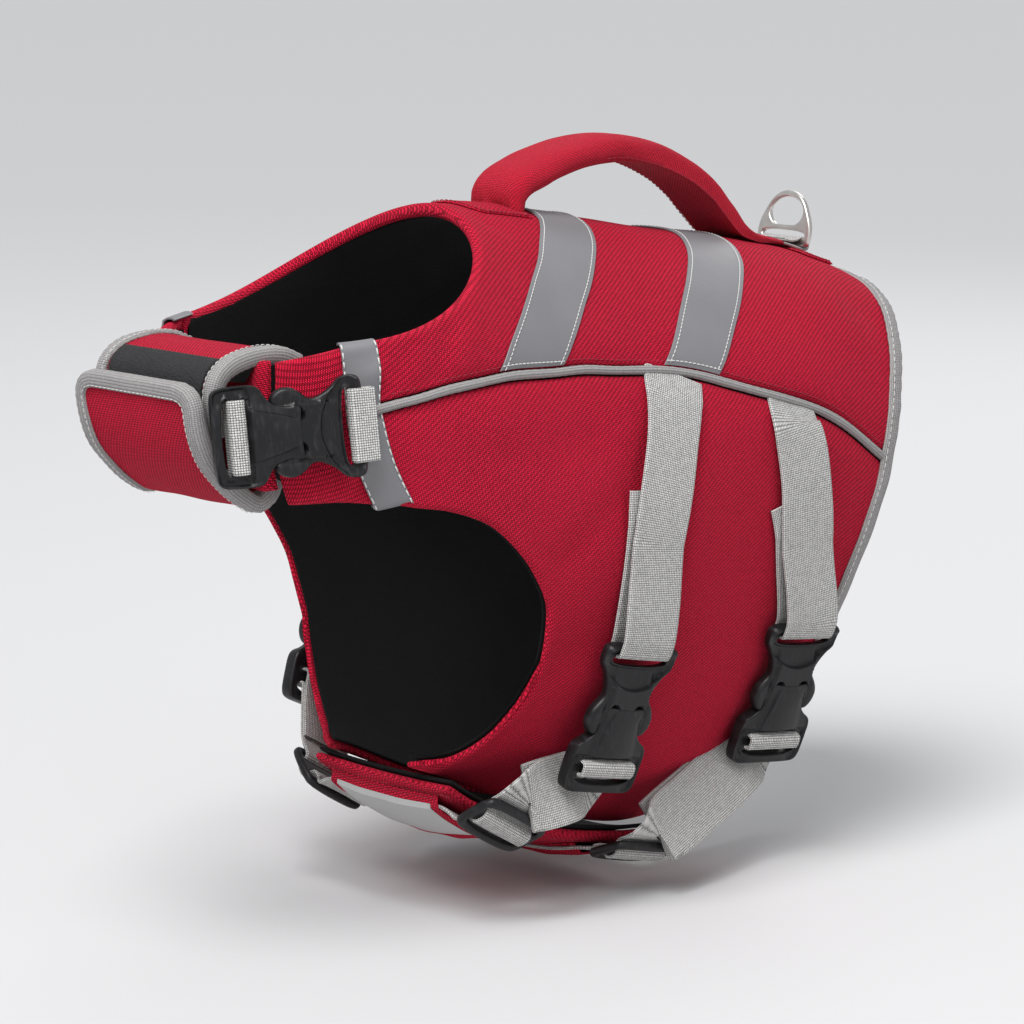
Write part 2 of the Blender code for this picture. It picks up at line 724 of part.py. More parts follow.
def build_outer_flap():
    """The flap that closes over the other one, bound up both sides and across its free end."""
    line, normals = flap_line(OUTER_FLAP, 13)
    near, far = flap_sides(line, True)
    flap_sheet("wrap_outer_flap", line, normals, near, far, 0, -FLAP, "red_cloth")
    across = np.linspace(near[-1], far[-1], 5)[1:-1]
    x = np.concatenate([near, across, far[::-1]])
    edge = np.concatenate([line, np.repeat(line[-1:], 3, 0), line[::-1]]) + x[:, None] * (1, 0, 0)
    edge_normals = np.concatenate([normals, np.repeat(normals[-1:], 3, 0), normals[::-1]])
    inward = unit(np.cross(edge_normals, unit(np.gradient(edge, axis=0))))
    inward *= -np.sign(inward[0, 0])
    edge_binding("wrap_outer_binding", edge, inward, edge_normals, FLAP, WRAP_BINDING_COVER, "grey_binding")


def build_throat_pad():
    """The strip across the throat inside the wrap: level with the left arm's end, then sunk behind
    the flaps, and sewn to the right arm's end."""
    deg = np.concatenate([[142.5, 145, 148], np.linspace(151, 209, 8), [212, 215, 360 - ARM_END_DEG - 0.3]])
    inside = np.clip(np.minimum(deg - 144.5, 215.5 - deg) / 6, 0, 1)
    inside = inside**2 * (3 - 2 * inside)
    share = np.linspace(0, 1, 4)[:, None]
    start, end = 0.035 + 0.012 * inside, 0.185 - 0.0015 * inside
    u, deg = start + (end - start) * share, deg + 0 * share
    bulge = np.minimum(1, ((deg - 180) / 30) ** 2)
    sunk = inside * (THROAT_SINK + (THROAT_SINK_SIDE - THROAT_SINK) * bulge)
    wall("throat_pad", body(u, deg, -sunk), body(u, deg, -sunk - SHELL), "red_cloth")


# ---- belly panel -----------------------------------------------------------------------------------


def on_belly(along, across, out=0.0):
    """A point on the belly panel's outer face: along from front 0 to rear 1, across from -1 to 1."""
    along, across = np.broadcast_arrays(np.asarray(along, float), np.asarray(across, float))

    def face(a, c):
        station = Station(*np.moveaxis(smooth(BELLY, a), -1, 0))
        z = station.middle_z + (station.edge_z - station.middle_z) * c**2
        return np.stack([station.half_width * c, station.y, z], -1)

    lengthwise = face(np.minimum(along + 0.01, 1), across) - face(np.maximum(along - 0.01, 0), across)
    crosswise = face(along, across + 0.02) - face(along, across - 0.02)
    normal = unit(np.cross(lengthwise, crosswise))
    return face(along, across) + normal * np.asarray(out, float)[..., None]


def belly_sheet(name, along, across, outer, inner, slot):
    along, across = np.meshgrid(along, across, indexing="ij")
    wall(name, on_belly(along, across, outer), on_belly(along, across, inner), slot)


def belly_along(y):
    """How far along the belly panel a station at this y lies."""
    at = np.linspace(0, 1, 400)
    return float(np.interp(y, smooth(BELLY, at)[:, 0], at))


STRAP_OUT = 1.9
SLEEVE_OUT = 3.7
SLEEVE = 1.2


def build_belly():
    along, across = np.linspace(0, 1, 9), np.linspace(-1, 1, 7)
    belly_sheet("belly_panel", along, across, 0.0, -SHELL, "red_cloth")
    belly_sheet("belly_panel_lining", along, across, -SHELL - LINING_GAP, -WALL, "black_lining")
    for name, glide in (("front", FRONT_GLIDE), ("rear", REAR_GLIDE)):
        ends = [belly_along(glide[0][1] + reach) for reach in (-SLEEVE_LENGTH / 2 + 1.5, SLEEVE_LENGTH / 2 + 1.5)]
        width = SLEEVE_HALF_WIDTH / BELLY[2].half_width
        along, across = np.linspace(*ends, 6), np.linspace(-width, width, 6)
        belly_sheet("belly_sleeve_" + name, along, across, SLEEVE_OUT + SLEEVE, SLEEVE_OUT, "red_cloth")
    ends = [belly_along(FRONT_GLIDE[0][1] + reach) for reach in (-SLEEVE_LENGTH / 2 + 2, SLEEVE_LENGTH / 2 - 5)]
    width = STRIPE_WIDTH / 2 / BELLY[2].half_width
    low = SLEEVE_OUT + SLEEVE + LAID
    belly_sheet("belly_stripe", np.linspace(*ends, 5), np.linspace(-width, width, 4), low + TAPE, low, "silver_tape")


def belly_route(strap):
    """Places of the webbing over the belly panel, from its side in to its middle."""
    along = belly_along(strap.glide[1] - 1.5)
    route = []
    for across in (0.80, 0.6, 0.4, 0.2, 0.04):
        lengthwise = on_belly(along + 0.02, across) - on_belly(along - 0.02, across)
        route.append((on_belly(along, across, STRAP_OUT), -unit(lengthwise)))
    return route


# ---- handle and D-ring --------------------------------------------------------------------------------


def on_ridge(y, out):
    """The point above the ridge of the back at this y."""
    at = np.linspace(0, 1, 300)
    u = np.interp(y, on_form(at, 0.0)[:, 1], at)
    return body(u, 0.0, out)


def on_back(x, y, out):
    """The point above the back at this x and y, for places near its ridge."""
    at = np.array([0.2, 0.0])
    for _ in range(8):
        here = body(*at, out)
        slopes = np.stack([body(at[0] + 0.01, at[1], out) - here, body(at[0], at[1] + 1.0, out) - here], 1)
        at += np.linalg.solve(slopes[:2], (x, y) - here[:2]) * (0.01, 1.0)
    return body(*at, out)


FRONT_TAB = 1.0


def build_handle():
    """The padded sleeve: its front end is pinched flat and sewn down over the ridge."""
    rows = eased(HANDLE, 20)
    middle = np.stack([np.zeros(len(rows)), rows[:, 0], rows[:, 1]], 1)
    ahead = unit(np.gradient(middle, axis=0))
    across = np.array([1.0, 0, 0])
    up = np.cross(across, ahead)
    rings = []
    for angle in np.radians([0, 35, 65, 90, 115, 145, 180, 215, 245, 270, 295, 325]):
        flat = abs(math.cos(angle)) ** 0.6 * math.copysign(1, math.cos(angle))
        round_it = abs(math.sin(angle)) ** 0.75 * math.copysign(1, math.sin(angle))
        rings.append(middle + across * flat * rows[:, 2:3] / 2 + up * round_it * rows[:, 3:4] / 2)
    rings = np.stack(rings, 1)
    seat = [on_back(x, y, LAID + FRONT_TAB + GAP) for x, y in rings[0, :, :2]]
    rings[0] = seat
    for ring in rings[1:4]:
        floor = [on_back(x, y, LAID + FRONT_TAB + GAP)[2] for x, y in ring[:, :2]]
        ring[:, 2] = np.maximum(ring[:, 2], floor)
    loft("handle", rings, "red_cloth", arched=True)
    u, deg = np.meshgrid(np.linspace(0.108, 0.236, 4), np.linspace(-12.5, 12.5, 5), indexing="ij")
    wall("handle_front_tab", body(u, deg, LAID + FRONT_TAB), body(u, deg, LAID), "red_cloth")


RING_TAB = 0.8
RING_PLY = 1.0
RING_BAR_OUT = LAID + RING_TAB + GAP + RING_PLY + GAP + 1.4


def ring_frame():
    """The plate stands on its base bar, leaning back a little."""
    turn = Matrix.Rotation(math.radians(90 - RING_LEAN), 4, "X")
    return Matrix.Translation(Vector(on_ridge(RING_Y, RING_BAR_OUT) * MM)) @ turn


def build_d_ring():
    half, top = RING_BASE_WIDTH / 2, RING_HEIGHT - RING_TOP_RADIUS
    outline = [(half - 1.5, -1.4), (half, 0), (half, 2.5)]
    outline += arc(RING_TOP_RADIUS, top, 12, 168, 8)
    outline += [(-half, 2.5), (-half, 0), (1.5 - half, -1.4)]
    reach = RING_HOLE_RADIUS * RING_HOLE_SQUEEZE
    hole = arc(RING_HOLE_RADIUS, RING_HEIGHT - 1.8 - reach, -45, 225, 10, RING_HOLE_SQUEEZE)
    slot = rounded_box(half - 2.4, 1.4, 1.4 + RING_SLOT, 0.8, 1)
    mesh = plate_mesh("d_ring", [outline, hole, slot], RING_THICK, 0.35, "steel")
    add_object("d_ring", mesh, "steel").matrix_world = ring_frame()


def arc(radius, height, start, end, steps, squeeze=1.0):
    angles = np.radians(np.linspace(start, end, steps + 1))
    return [(radius * math.cos(angle), height + radius * squeeze * math.sin(angle)) for angle in angles]


def build_ring_loop():
    """A folded webbing loop round the base bar, on a red tab that is sewn to the back."""
    width = RING_BASE_WIDTH - 6.4
    low = LAID + RING_TAB + GAP + RING_PLY / 2
    path = [
        (54.2, low), (60.5, low), (RING_Y + 2.4, low), (RING_Y + 3.4, low + 0.8), (RING_Y + 3.4, low + 3.2),
        (RING_Y + 1.6, low + 4.3), (RING_Y - 1.4, low + 4.2), (60.4, low + 2.4), (57, low + 1.4), (54.2, low + 1.4),
    ]
    route = [(on_ridge(y, out), (1, 0, 0)) for y, out in path]
    ribbon("d_ring_loop", route, width, RING_PLY, "grey_webbing")
    u, deg = np.meshgrid(np.linspace(0.835, 0.93, 4), np.linspace(-14, 14, 5), indexing="ij")
    wall("d_ring_tab", body(u, deg, LAID + RING_TAB), body(u, deg, LAID), "red_cloth")


# ---- buckles, tri-glides and webbing -------------------------------------------------------------------


def frame_of(origin, along, outward):
    """A matrix whose Y runs along the webbing and whose Z points away from the body."""
    y = unit(np.asarray(along, float))
    z = np.asarray(outward, float)
    z = unit(z - y * np.dot(z, y))
    x = np.cross(y, z)
    columns = [x, y, z, np.asarray(origin, float) * MM]
    matrix = Matrix.Identity(4)
    for column, values in enumerate(columns):
        for row in range(3):
            matrix[row][column] = values[row]
    return matrix


def mirrored_frame(matrix, side):
    """The same frame on the jacket's other side, kept right-handed."""
    if side > 0:
        return matrix
    flip = Matrix.Diagonal((-1, 1, 1, 1))
    return flip @ matrix @ flip


def local_point(matrix, x, y, z):
    return np.array(matrix @ Vector((x * MM, y * MM, z * MM))) / MM


def across_of(matrix):
    return np.array(matrix.col[0][:3])


def male_mesh():
    edge = BUCKLE_WIDTH / 2
    half = [
        (0, 13), (TONGUE_HALF_WIDTH, 12), (TONGUE_HALF_WIDTH, -5.4), (9.8, -5.4), (9.9, 2.2), (11.4, 5.4),
        (13.4, 4.8), (14.9, 2.0), (14.9, -1.2), (13.4, -4.6), (11.2, -7.6), (10.8, -10.4), (11.8, -13.6),
        (13.8, -17.2), (16.2, -20), (edge, -22.5), (edge, 2 - BUCKLE_END), (edge - 2, -BUCKLE_END), (0, -BUCKLE_END),
    ]
    slot = rounded_box(SLOT_WIDTH / 2, END_BAR - BUCKLE_END, END_BAR + SLOT - BUCKLE_END, 1.0, 1)
    return plate_mesh("buckle_male", [both_sides(half), slot], MALE_THICK, 0.5, "black_plastic")


def female_mesh():
    edge = BUCKLE_WIDTH / 2
    half = [
        (0, -4.4), (4.5, -4.6), (8.6, -5), (9.4, -2.5), (9.4, 3), (10.6, 6.2), (13.2, 8.2), (16, 9.6), (edge, 12),
        (edge, BUCKLE_END - 2), (edge - 2, BUCKLE_END), (0, BUCKLE_END),
    ]
    end, inner = BUCKLE_END - END_BAR, FEMALE_BAR - END_BAR / 2
    outer_slot = rounded_box(SLOT_WIDTH / 2, end - SLOT, end, 1.0, 1)
    inner_slot = rounded_box(SLOT_WIDTH / 2, inner - INNER_SLOT, inner, 1.0, 1)
    return plate_mesh("buckle_female", [both_sides(half), outer_slot, inner_slot], FEMALE_THICK, 0.7, "black_plastic")


def cut_socket(female):
    """The pocket in the female half that takes the male half's tongue."""
    bpy.ops.mesh.primitive_cube_add(size=1)
    cutter = bpy.context.object
    cutter.name = "socket_cutter"
    for collection in list(cutter.users_collection):
        collection.objects.unlink(cutter)
    CUTTERS.objects.link(cutter)
    cutter.hide_render = True
    cutter.display_type = "WIRE"
    width, height = 2 * (TONGUE_HALF_WIDTH + GAP + 0.1), MALE_THICK + 2 * GAP
    cutter.data.transform(Matrix.Diagonal((width * MM, 21 * MM, height * MM, 1)))
    cutter.data.transform(Matrix.Translation((0, (13 + GAP + 0.2 - 10.5) * MM, 0)))
    block = add_object("socket_block", female, "black_plastic")
    cut = block.modifiers.new("socket", "BOOLEAN")
    cut.operation = "DIFFERENCE"
    cut.object = cutter
    graph = bpy.context.evaluated_depsgraph_get()
    mesh = bpy.data.meshes.new_from_object(block.evaluated_get(graph))
    mesh.name = "buckle_female"
    bpy.data.objects.remove(block, do_unlink=True)
    return mesh


def glide_mesh():
    outline = rounded_box(GLIDE_WIDTH / 2, -GLIDE_LENGTH / 2, GLIDE_LENGTH / 2, 4.0, 3)
    low, high = GLIDE_BAR / 2, GLIDE_BAR / 2 + GLIDE_SLOT
    upper = rounded_box(SLOT_WIDTH / 2, low, high, 1.2, 1)
    lower = rounded_box(SLOT_WIDTH / 2, -high, -low, 1.2, 1)
    return plate_mesh("tri_glide", [outline, upper, lower], GLIDE_THICK, 0.5, "black_plastic")


def buckle_frame(male_bar, female_bar, outward):
    male_bar, female_bar = np.array(male_bar, float), np.array(female_bar, float)
    along = unit(female_bar - male_bar)
    return frame_of(male_bar - along * MALE_BAR, along, outward)


def strap_frames(strap):
    male_bar, female_bar = np.array(strap.male, float), np.array(strap.female, float)
    outward = np.array([0.93, -0.10, -0.35])
    buckle = buckle_frame(male_bar, female_bar, outward)
    out = unit(np.array(strap.glide_out, float))
    across = np.array(strap.glide_across, float)
    along = unit(np.cross(out, across))
    if along[2] < 0:
        along = -along
    return buckle, frame_of(strap.glide, along, out)


def round_bar(bar, half_bar, over, low=None):
    """Points round a bar, from its outer face over its +y side to its inner face."""
    low = -over if low is None else low
    side = bar + half_bar + GAP + WEBBING / 2
    return [(bar + half_bar - 0.2, over), (side, over - 0.9), (side, low + 0.9), (bar + half_bar - 0.2, low)]


def upper_route(strap, buckle, side):
    """From under the piping, down over the body, round the male bar and back behind as a tail."""
    across = across_of(buckle)
    over = MALE_THICK / 2 + GAP + WEBBING / 2 + 0.1
    route = []
    for fraction in np.linspace(0, 1, 5):
        u = strap.sewn_u + (strap.over_u - strap.sewn_u) * fraction
        deg = strap.sewn_deg + (strap.over_deg - strap.sewn_deg) * fraction
        out = 2.0 + (strap.over_out - 2.0) * math.sqrt(fraction)
        route.append((body(u, deg * side, out) * (side, 1, 1), across))
    bend = [(MALE_BAR - 6, over)] + round_bar(MALE_BAR, END_BAR / 2, over) + [(MALE_BAR - 6, -over)]
    route += [(local_point(buckle, 0, y, z), across) for y, z in bend]
    tail = body(strap.over_u + 0.004, (strap.over_deg + 4) * side, strap.over_out - 2.2) * (side, 1, 1)
    route.append((tail, across))
    return route


def seam_direction(u):
    """Which way the piping runs at this u, toward the head."""
    line = places(PIPING, 60)
    deg = np.interp([u - 0.02, u + 0.02], line[:, 0], line[:, 1])
    before, after = body(np.array([u - 0.02, u + 0.02]), deg)
    return unit(before - after)


def lower_route(strap, buckle, glide):
    """Round the female half's middle bar, under its end bar, through the tri-glide to the belly."""
    across, glide_across = across_of(buckle), -across_of(glide)
    over = FEMALE_THICK / 2 + GAP + WEBBING / 2 + 0.5
    bar, half_bar = FEMALE_BAR, END_BAR / 2
    near, far = bar - half_bar - GAP - WEBBING / 2, bar + half_bar + GAP + WEBBING / 2
    bend = [
        (near - 8, -over), (near - 0.9, -over), (near, 0.9 - over), (near, over - 0.9), (near + 0.9, over),
        (far - 0.9, over), (far, over - 0.9), (far, 0.9 - over), (far + 1, -over), (far + 7.5, -over - 1.4),
    ]
    route = [(local_point(buckle, 0, y, z), across) for y, z in bend]
    over = GLIDE_THICK / 2 + GAP + WEBBING / 2 + 0.25
    side = GLIDE_BAR / 2 + GAP + WEBBING / 2 + 0.45
    through = [
        (GLIDE_LENGTH / 2 + 5, -over - 1), (GLIDE_LENGTH / 2, -over), (side + 1.6, -over),
        (side + 0.2, 1.1 - over), (side - 0.2, over - 1.1), (side - 1.6, over), (1.6 - side, over),
        (0.2 - side, over - 1.1), (-side - 0.2, 1.1 - over), (-side - 1.6, -over), (-GLIDE_LENGTH / 2 - 1, -over),
    ]
    onward = [(local_point(glide, 0, y, z), glide_across) for y, z in through]
    return route + onward + belly_route(strap)


def flipped(route, side):
    flip = np.array([side, 1, 1])
    return [(np.array(point) * flip, np.array(across) * flip) for point, across in route]


def build_straps(male, female, glide_shape):
    for ending, strap in STRAPS.items():
        side = SIDES[ending.split("_")[1]]
        buckle, glide = strap_frames(strap)
        upper, lower = upper_route(strap, buckle, side), lower_route(strap, buckle, glide)
        start = seam_direction(strap.sewn_u) * (side, 1, 1)
        ribbon("upper_strap_" + ending, flipped(upper, side), WEBBING_WIDTH, WEBBING, "grey_webbing", start)
        ribbon("lower_strap_" + ending, flipped(lower, side), WEBBING_WIDTH, WEBBING, "grey_webbing")
        placed = mirrored_frame(buckle, side)
        add_object("buckle_male_" + ending, male, "black_plastic").matrix_world = placed
        add_object("buckle_female_" + ending, female, "black_plastic").matrix_world = placed
        add_object("tri_glide_" + ending, glide_shape, "black_plastic").matrix_world = mirrored_frame(glide, side)


def shortened(mesh, name):
    """A copy of a buckle half for the shorter neck buckle."""
    short = mesh.copy()
    short.name = name
    short.transform(Matrix.Diagonal((1, NECK_BUCKLE_SHORT, 1, 1)))
    return short


def build_neck_buckle(male, female):
    """The buckle that joins the left arm to the webbing inside the wrap."""
    start, end = np.array(NECK_BUCKLE_MALE), np.array(NECK_BUCKLE_END)
    along = unit(end - start)
    bar, half_bar = MALE_BAR * NECK_BUCKLE_SHORT, END_BAR / 2 * NECK_BUCKLE_SHORT
    frame = frame_of(start - along * bar, along, (0.875, -0.48, 0.1))
    add_object("buckle_male_neck", shortened(male, "neck_male"), "black_plastic").matrix_world = frame
    add_object("buckle_female_neck", shortened(female, "neck_female"), "black_plastic").matrix_world = frame
    across = across_of(frame)
    over = MALE_THICK / 2 + GAP + WEBBING / 2 + 0.1
    near, far = bar + half_bar + GAP + WEBBING / 2, bar - half_bar - 4.6
    path = [
        (far, -over), (near - 0.9, -over), (near, 0.9 - over), (near, over - 0.9), (near - 0.9, over), (far, over - 1.2),
    ]
    route = [(local_point(frame, 0, y, z), across) for y, z in path]
    ribbon("neck_loop_arm", route, WEBBING_WIDTH, WEBBING, "grey_webbing")
    bar = FEMALE_BAR * NECK_BUCKLE_SHORT
    over = FEMALE_THICK / 2 + GAP + WEBBING / 2 + 0.1
    near, far = bar - half_bar - GAP - WEBBING / 2, bar + half_bar + GAP + WEBBING / 2
    path = [
        (near, 0.9 - over), (near, over - 0.9), (near + 0.9, over), (far - 0.9, over),
        (far, over - 0.9), (far, 0.9 - over), (far + 0.7, 0.3 - over),
    ]
    route = [(local_point(frame, 0, y, z), across) for y, z in path]
    ribbon("neck_loop_wrap", route, WEBBING_WIDTH, WEBBING, "grey_webbing")


clear_scene()
PARTS = new_collection(NAME)
CUTTERS = new_collection("cutters")
build_panels()
build_piping()
build_neck_bands()
build_back_tapes()
build_rear_binding()
build_throat_pad()
build_top_flap()
build_outer_flap()
build_belly()
build_handle()
build_d_ring()
build_ring_loop()
MALE = male_mesh()
FEMALE = cut_socket(female_mesh())
build_straps(MALE, FEMALE, glide_mesh())
build_neck_buckle(MALE, FEMALE)
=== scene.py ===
"""The looks of a small dog's life jacket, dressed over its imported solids.

Millimetres in the tables, metres in the meshes. The head end is -Y, the dog's left is +X and
+Z is up. The sections follow the jacket as it is put together: padded panels and linings, piping
and tapes, the collar wrap, the belly panel, the handle and ring, then buckles and webbing.
"""

import math
from collections import namedtuple
from functools import partial

import bmesh
import bpy
import numpy as np
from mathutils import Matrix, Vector
from mathutils.geometry import delaunay_2d_cdt


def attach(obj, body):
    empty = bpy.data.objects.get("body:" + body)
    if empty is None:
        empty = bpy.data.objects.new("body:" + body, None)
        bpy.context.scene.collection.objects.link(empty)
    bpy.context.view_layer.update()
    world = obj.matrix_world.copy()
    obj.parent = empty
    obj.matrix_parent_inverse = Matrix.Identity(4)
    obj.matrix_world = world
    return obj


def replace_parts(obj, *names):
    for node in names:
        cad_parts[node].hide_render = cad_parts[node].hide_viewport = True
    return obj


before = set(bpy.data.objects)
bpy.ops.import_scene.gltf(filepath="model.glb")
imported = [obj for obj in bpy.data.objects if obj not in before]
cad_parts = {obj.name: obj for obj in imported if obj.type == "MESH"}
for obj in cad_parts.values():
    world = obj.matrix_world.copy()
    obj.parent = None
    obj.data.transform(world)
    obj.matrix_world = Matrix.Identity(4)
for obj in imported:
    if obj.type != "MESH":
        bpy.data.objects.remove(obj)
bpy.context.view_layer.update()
MM = 0.001
SIDES = {"left": 1, "right": -1}


# ---- studio ----------------------------------------------------------------------------------
# A pale floor just under the jacket that runs out to a sky of the same grey, a long lens at the
# height of the dog's shoulder, a broad soft sun high in front, and three large lamps.

AIM = Vector((0, -80, -94)) * MM
AZIMUTH, ELEVATION, DISTANCE = math.radians(47), math.radians(10), 1500 * MM
flat = math.cos(ELEVATION)
toward = Vector((math.sin(AZIMUTH) * flat, -math.cos(AZIMUTH) * flat, math.sin(ELEVATION)))
camera = bpy.data.objects.new("camera", bpy.data.cameras.new("camera"))
bpy.context.scene.collection.objects.link(camera)
camera.data.sensor_fit, camera.data.sensor_width, camera.data.lens = "HORIZONTAL", 36, 142.38
camera.location = AIM + toward * DISTANCE
camera.rotation_euler = (-toward).to_track_quat("-Z", "Y").to_euler()
bpy.context.scene.camera = camera
bpy.context.scene.view_settings.view_transform = "Standard"

FLOOR_Z = -234
bpy.ops.mesh.primitive_circle_add(vertices=96, radius=14, fill_type="NGON", location=(0, 0, FLOOR_Z * MM))
floor = bpy.context.object
floor.name = "studio_floor"
pale = bpy.data.materials.new("pale_floor")
pale.use_nodes = True
floor_shader = pale.node_tree.nodes["Principled BSDF"].inputs
floor_shader["Base Color"].default_value = (0.60, 0.60, 0.605, 1)
floor_shader["Roughness"].default_value = 0.9
floor_shader["Specular IOR Level"].default_value = 0.1
floor.data.materials.append(pale)

Lamp = namedtuple("Lamp", "name place size watts")
LAMPS = [
    Lamp("key", (0.35, -0.7, 1.4), 0.7, 13),
    Lamp("side", (1.5, -0.1, 0.6), 1.0, 2.5),
    Lamp("rim", (-0.7, 1.3, 0.9), 0.8, 5),
]
SUN_WAY, SUN_STRENGTH, SUN_SPREAD = Vector((-0.35, 0.75, -1.1)), 1.9, 35


def add_light(name, kind, energy, place, way):
    """A lamp at this place in metres that shines this way."""
    data = bpy.data.lights.new(name, kind)
    data.energy = energy
    light = bpy.data.objects.new(name, data)
    bpy.context.scene.collection.objects.link(light)
    light.location = place
    light.rotation_euler = way.to_track_quat("-Z", "Y").to_euler()
    return data


for lamp in LAMPS:
    data = add_light(lamp.name, "AREA", lamp.watts, lamp.place, AIM - Vector(lamp.place))
    data.shape, data.size = "DISK", lamp.size
add_light("soft_sun", "SUN", SUN_STRENGTH, (0, 0, 0), SUN_WAY).angle = math.radians(SUN_SPREAD)

world = bpy.data.worlds.new("studio")
bpy.context.scene.world = world
world.use_nodes = True
sky = world.node_tree.nodes["Background"].inputs
sky["Color"].default_value, sky["Strength"].default_value = (0.93, 0.94, 0.96, 1), 0.56


# ---- red cloth -------------------------------------------------------------------------------
# Coarse polyester oxford in a carmine red, napped a little by the dog's coat. Its yarns stand
# about a millimetre apart; the same weave, finer or ribbed, is in the tapes, bindings and webbing.
# Its colour carries painted shade: darker in the weave's hollows and on the crossing yarns.


def put(tree, kind, links=(), **values):
    """A node of this kind. Values name its sockets or its settings, links are (from, socket)."""
    node = tree.nodes.new(kind)
    for key, value in values.items():
        if hasattr(node, key):
            setattr(node, key, value)
        else:
            node.inputs[key.replace("_", " ")].default_value = value
    for source, socket in links:
        tree.links.new(source, node.inputs[socket])
    return node


def sums(tree, operation, *values, clamp=False):
    """The output of a Math node over sockets or numbers."""
    node = tree.nodes.new("ShaderNodeMath")
    node.operation, node.use_clamp = operation, clamp
    for index, value in enumerate(values):
        if isinstance(value, (int, float)):
            node.inputs[index].default_value = value
        else:
            tree.links.new(value, node.inputs[index])
    return node.outputs[0]


def new_material(name):
    """A new material, its node tree and the inputs of its shader."""
    made = bpy.data.materials.new(name)
    made.use_nodes = True
    return made, made.node_tree, made.node_tree.nodes["Principled BSDF"].inputs


def noise(tree, place, **values):
    """The grey of a Noise node."""
    return put(tree, "ShaderNodeTexNoise", [(place, "Vector")], **values).outputs["Fac"]


def blend(tree, share, dark, light):
    """From dark to light as share goes from 0 to 1. Each is a colour or a socket."""
    mix = put(tree, "ShaderNodeMix", [(share, 0)], data_type="RGBA")
    for index, colour in ((6, dark), (7, light)):
        if isinstance(colour, tuple):
            mix.inputs[index].default_value = (*colour, 1)
        else:
            tree.links.new(colour, mix.inputs[index])
    return mix.outputs[2]


def bump(tree, height, mm, strength, under=None):
    """The normal of a relief this deep, over another one if there is one."""
    links = [(height, "Height")] + ([] if under is None else [(under, "Normal")])
    return put(tree, "ShaderNodeBump", links, Distance=mm * MM, Strength=strength).outputs[0]


def wire(tree, shader, colour, roughness, normal):
    """Sockets into the shader's colour, roughness and normal."""
    for source, name in ((colour, "Base Color"), (roughness, "Roughness"), (normal, "Normal")):
        tree.links.new(source, shader[name])


def new_group(name, inputs, outputs):
    tree = bpy.data.node_groups.new(name, "ShaderNodeTree")
    for title, kind, value in inputs:
        socket = tree.interface.new_socket(name=title, in_out="INPUT", socket_type="NodeSocket" + kind)
        if value is not None:
            socket.default_value = value
    for title, kind in outputs:
        tree.interface.new_socket(name=title, in_out="OUTPUT", socket_type="NodeSocket" + kind)
    return tree, tree.nodes.new("NodeGroupInput").outputs, tree.nodes.new("NodeGroupOutput").inputs


def make_weave():
    """Yarns over and under each other on a cloth map counted in yarns. Height is the relief, Warp
    is 1 where the lengthwise yarn is on top, and Tone runs unevenly from yarn to yarn."""
    tree, given, wanted = new_group(
        "weave", [("Yarns", "Vector", None), ("Repeat", "Float", 2.0), ("Slub", "Float", 0.5)],
        [("Height", "Float"), ("Warp", "Float"), ("Tone", "Float")],
    )
    math_node = partial(sums, tree)
    place = put(tree, "ShaderNodeSeparateXYZ", [(given["Yarns"], 0)]).outputs
    across, along = (
        math_node("ABSOLUTE", math_node("SINE", math_node("MULTIPLY", place[i], math.pi))) for i in (0, 1)
    )
    count = math_node("ADD", math_node("FLOOR", place[0]), math_node("FLOOR", place[1]))
    share = math_node("DIVIDE", math_node("FLOORED_MODULO", count, given["Repeat"]), given["Repeat"])
    warp = math_node("LESS_THAN", share, 0.49)
    weft = math_node("SUBTRACT", 1, warp)
    over, under = (
        math_node("MULTIPLY", math_node("POWER", one, 0.7), math_node("MULTIPLY_ADD", other, 0.5, 0.5))
        for one, other in ((across, along), (along, across))
    )
    height = math_node("MULTIPLY_ADD", over, warp, math_node("MULTIPLY", under, weft))
    cell = put(tree, "ShaderNodeVectorMath", [(given["Yarns"], 0)], operation="FLOOR").outputs[0]
    yarn = put(tree, "ShaderNodeTexWhiteNoise", [(cell, "Vector")], noise_dimensions="2D").outputs["Value"]
    slub = math_node("MULTIPLY", noise(tree, given["Yarns"], Scale=0.35, Detail=2.0), given["Slub"])
    for source, name in ((height, "Height"), (warp, "Warp"), (math_node("MULTIPLY_ADD", yarn, 0.6, slub), "Tone")):
        tree.links.new(source, wanted[name])
    return tree


def make_nap():
    """Slow changes over a cloth: where it has faded or been rubbed, and the fuzz that stands on it."""
    tree, given, wanted = new_group("nap", [("Place", "Vector", None)], [("Fade", "Float"), ("Fuzz", "Float")])
    patches = noise(tree, given["Place"], Scale=18.0, Detail=3.0, Roughness=0.55)
    spread = put(tree, "ShaderNodeMapRange", [(patches, "Value")], From_Min=0.3, From_Max=0.7)
    tree.links.new(spread.outputs[0], wanted["Fade"])
    tree.links.new(noise(tree, given["Place"], Scale=900.0, Detail=2.0, Roughness=0.7), wanted["Fuzz"])
    return tree


WEAVE, NAP = make_weave(), make_nap()
Cloth = namedtuple(
    "Cloth", "dark light faded roughness sheen sheen_tint yarn turn repeat slub relief fuzz under fade specular",
    defaults=(0.0, 0.3, 0.3),
)


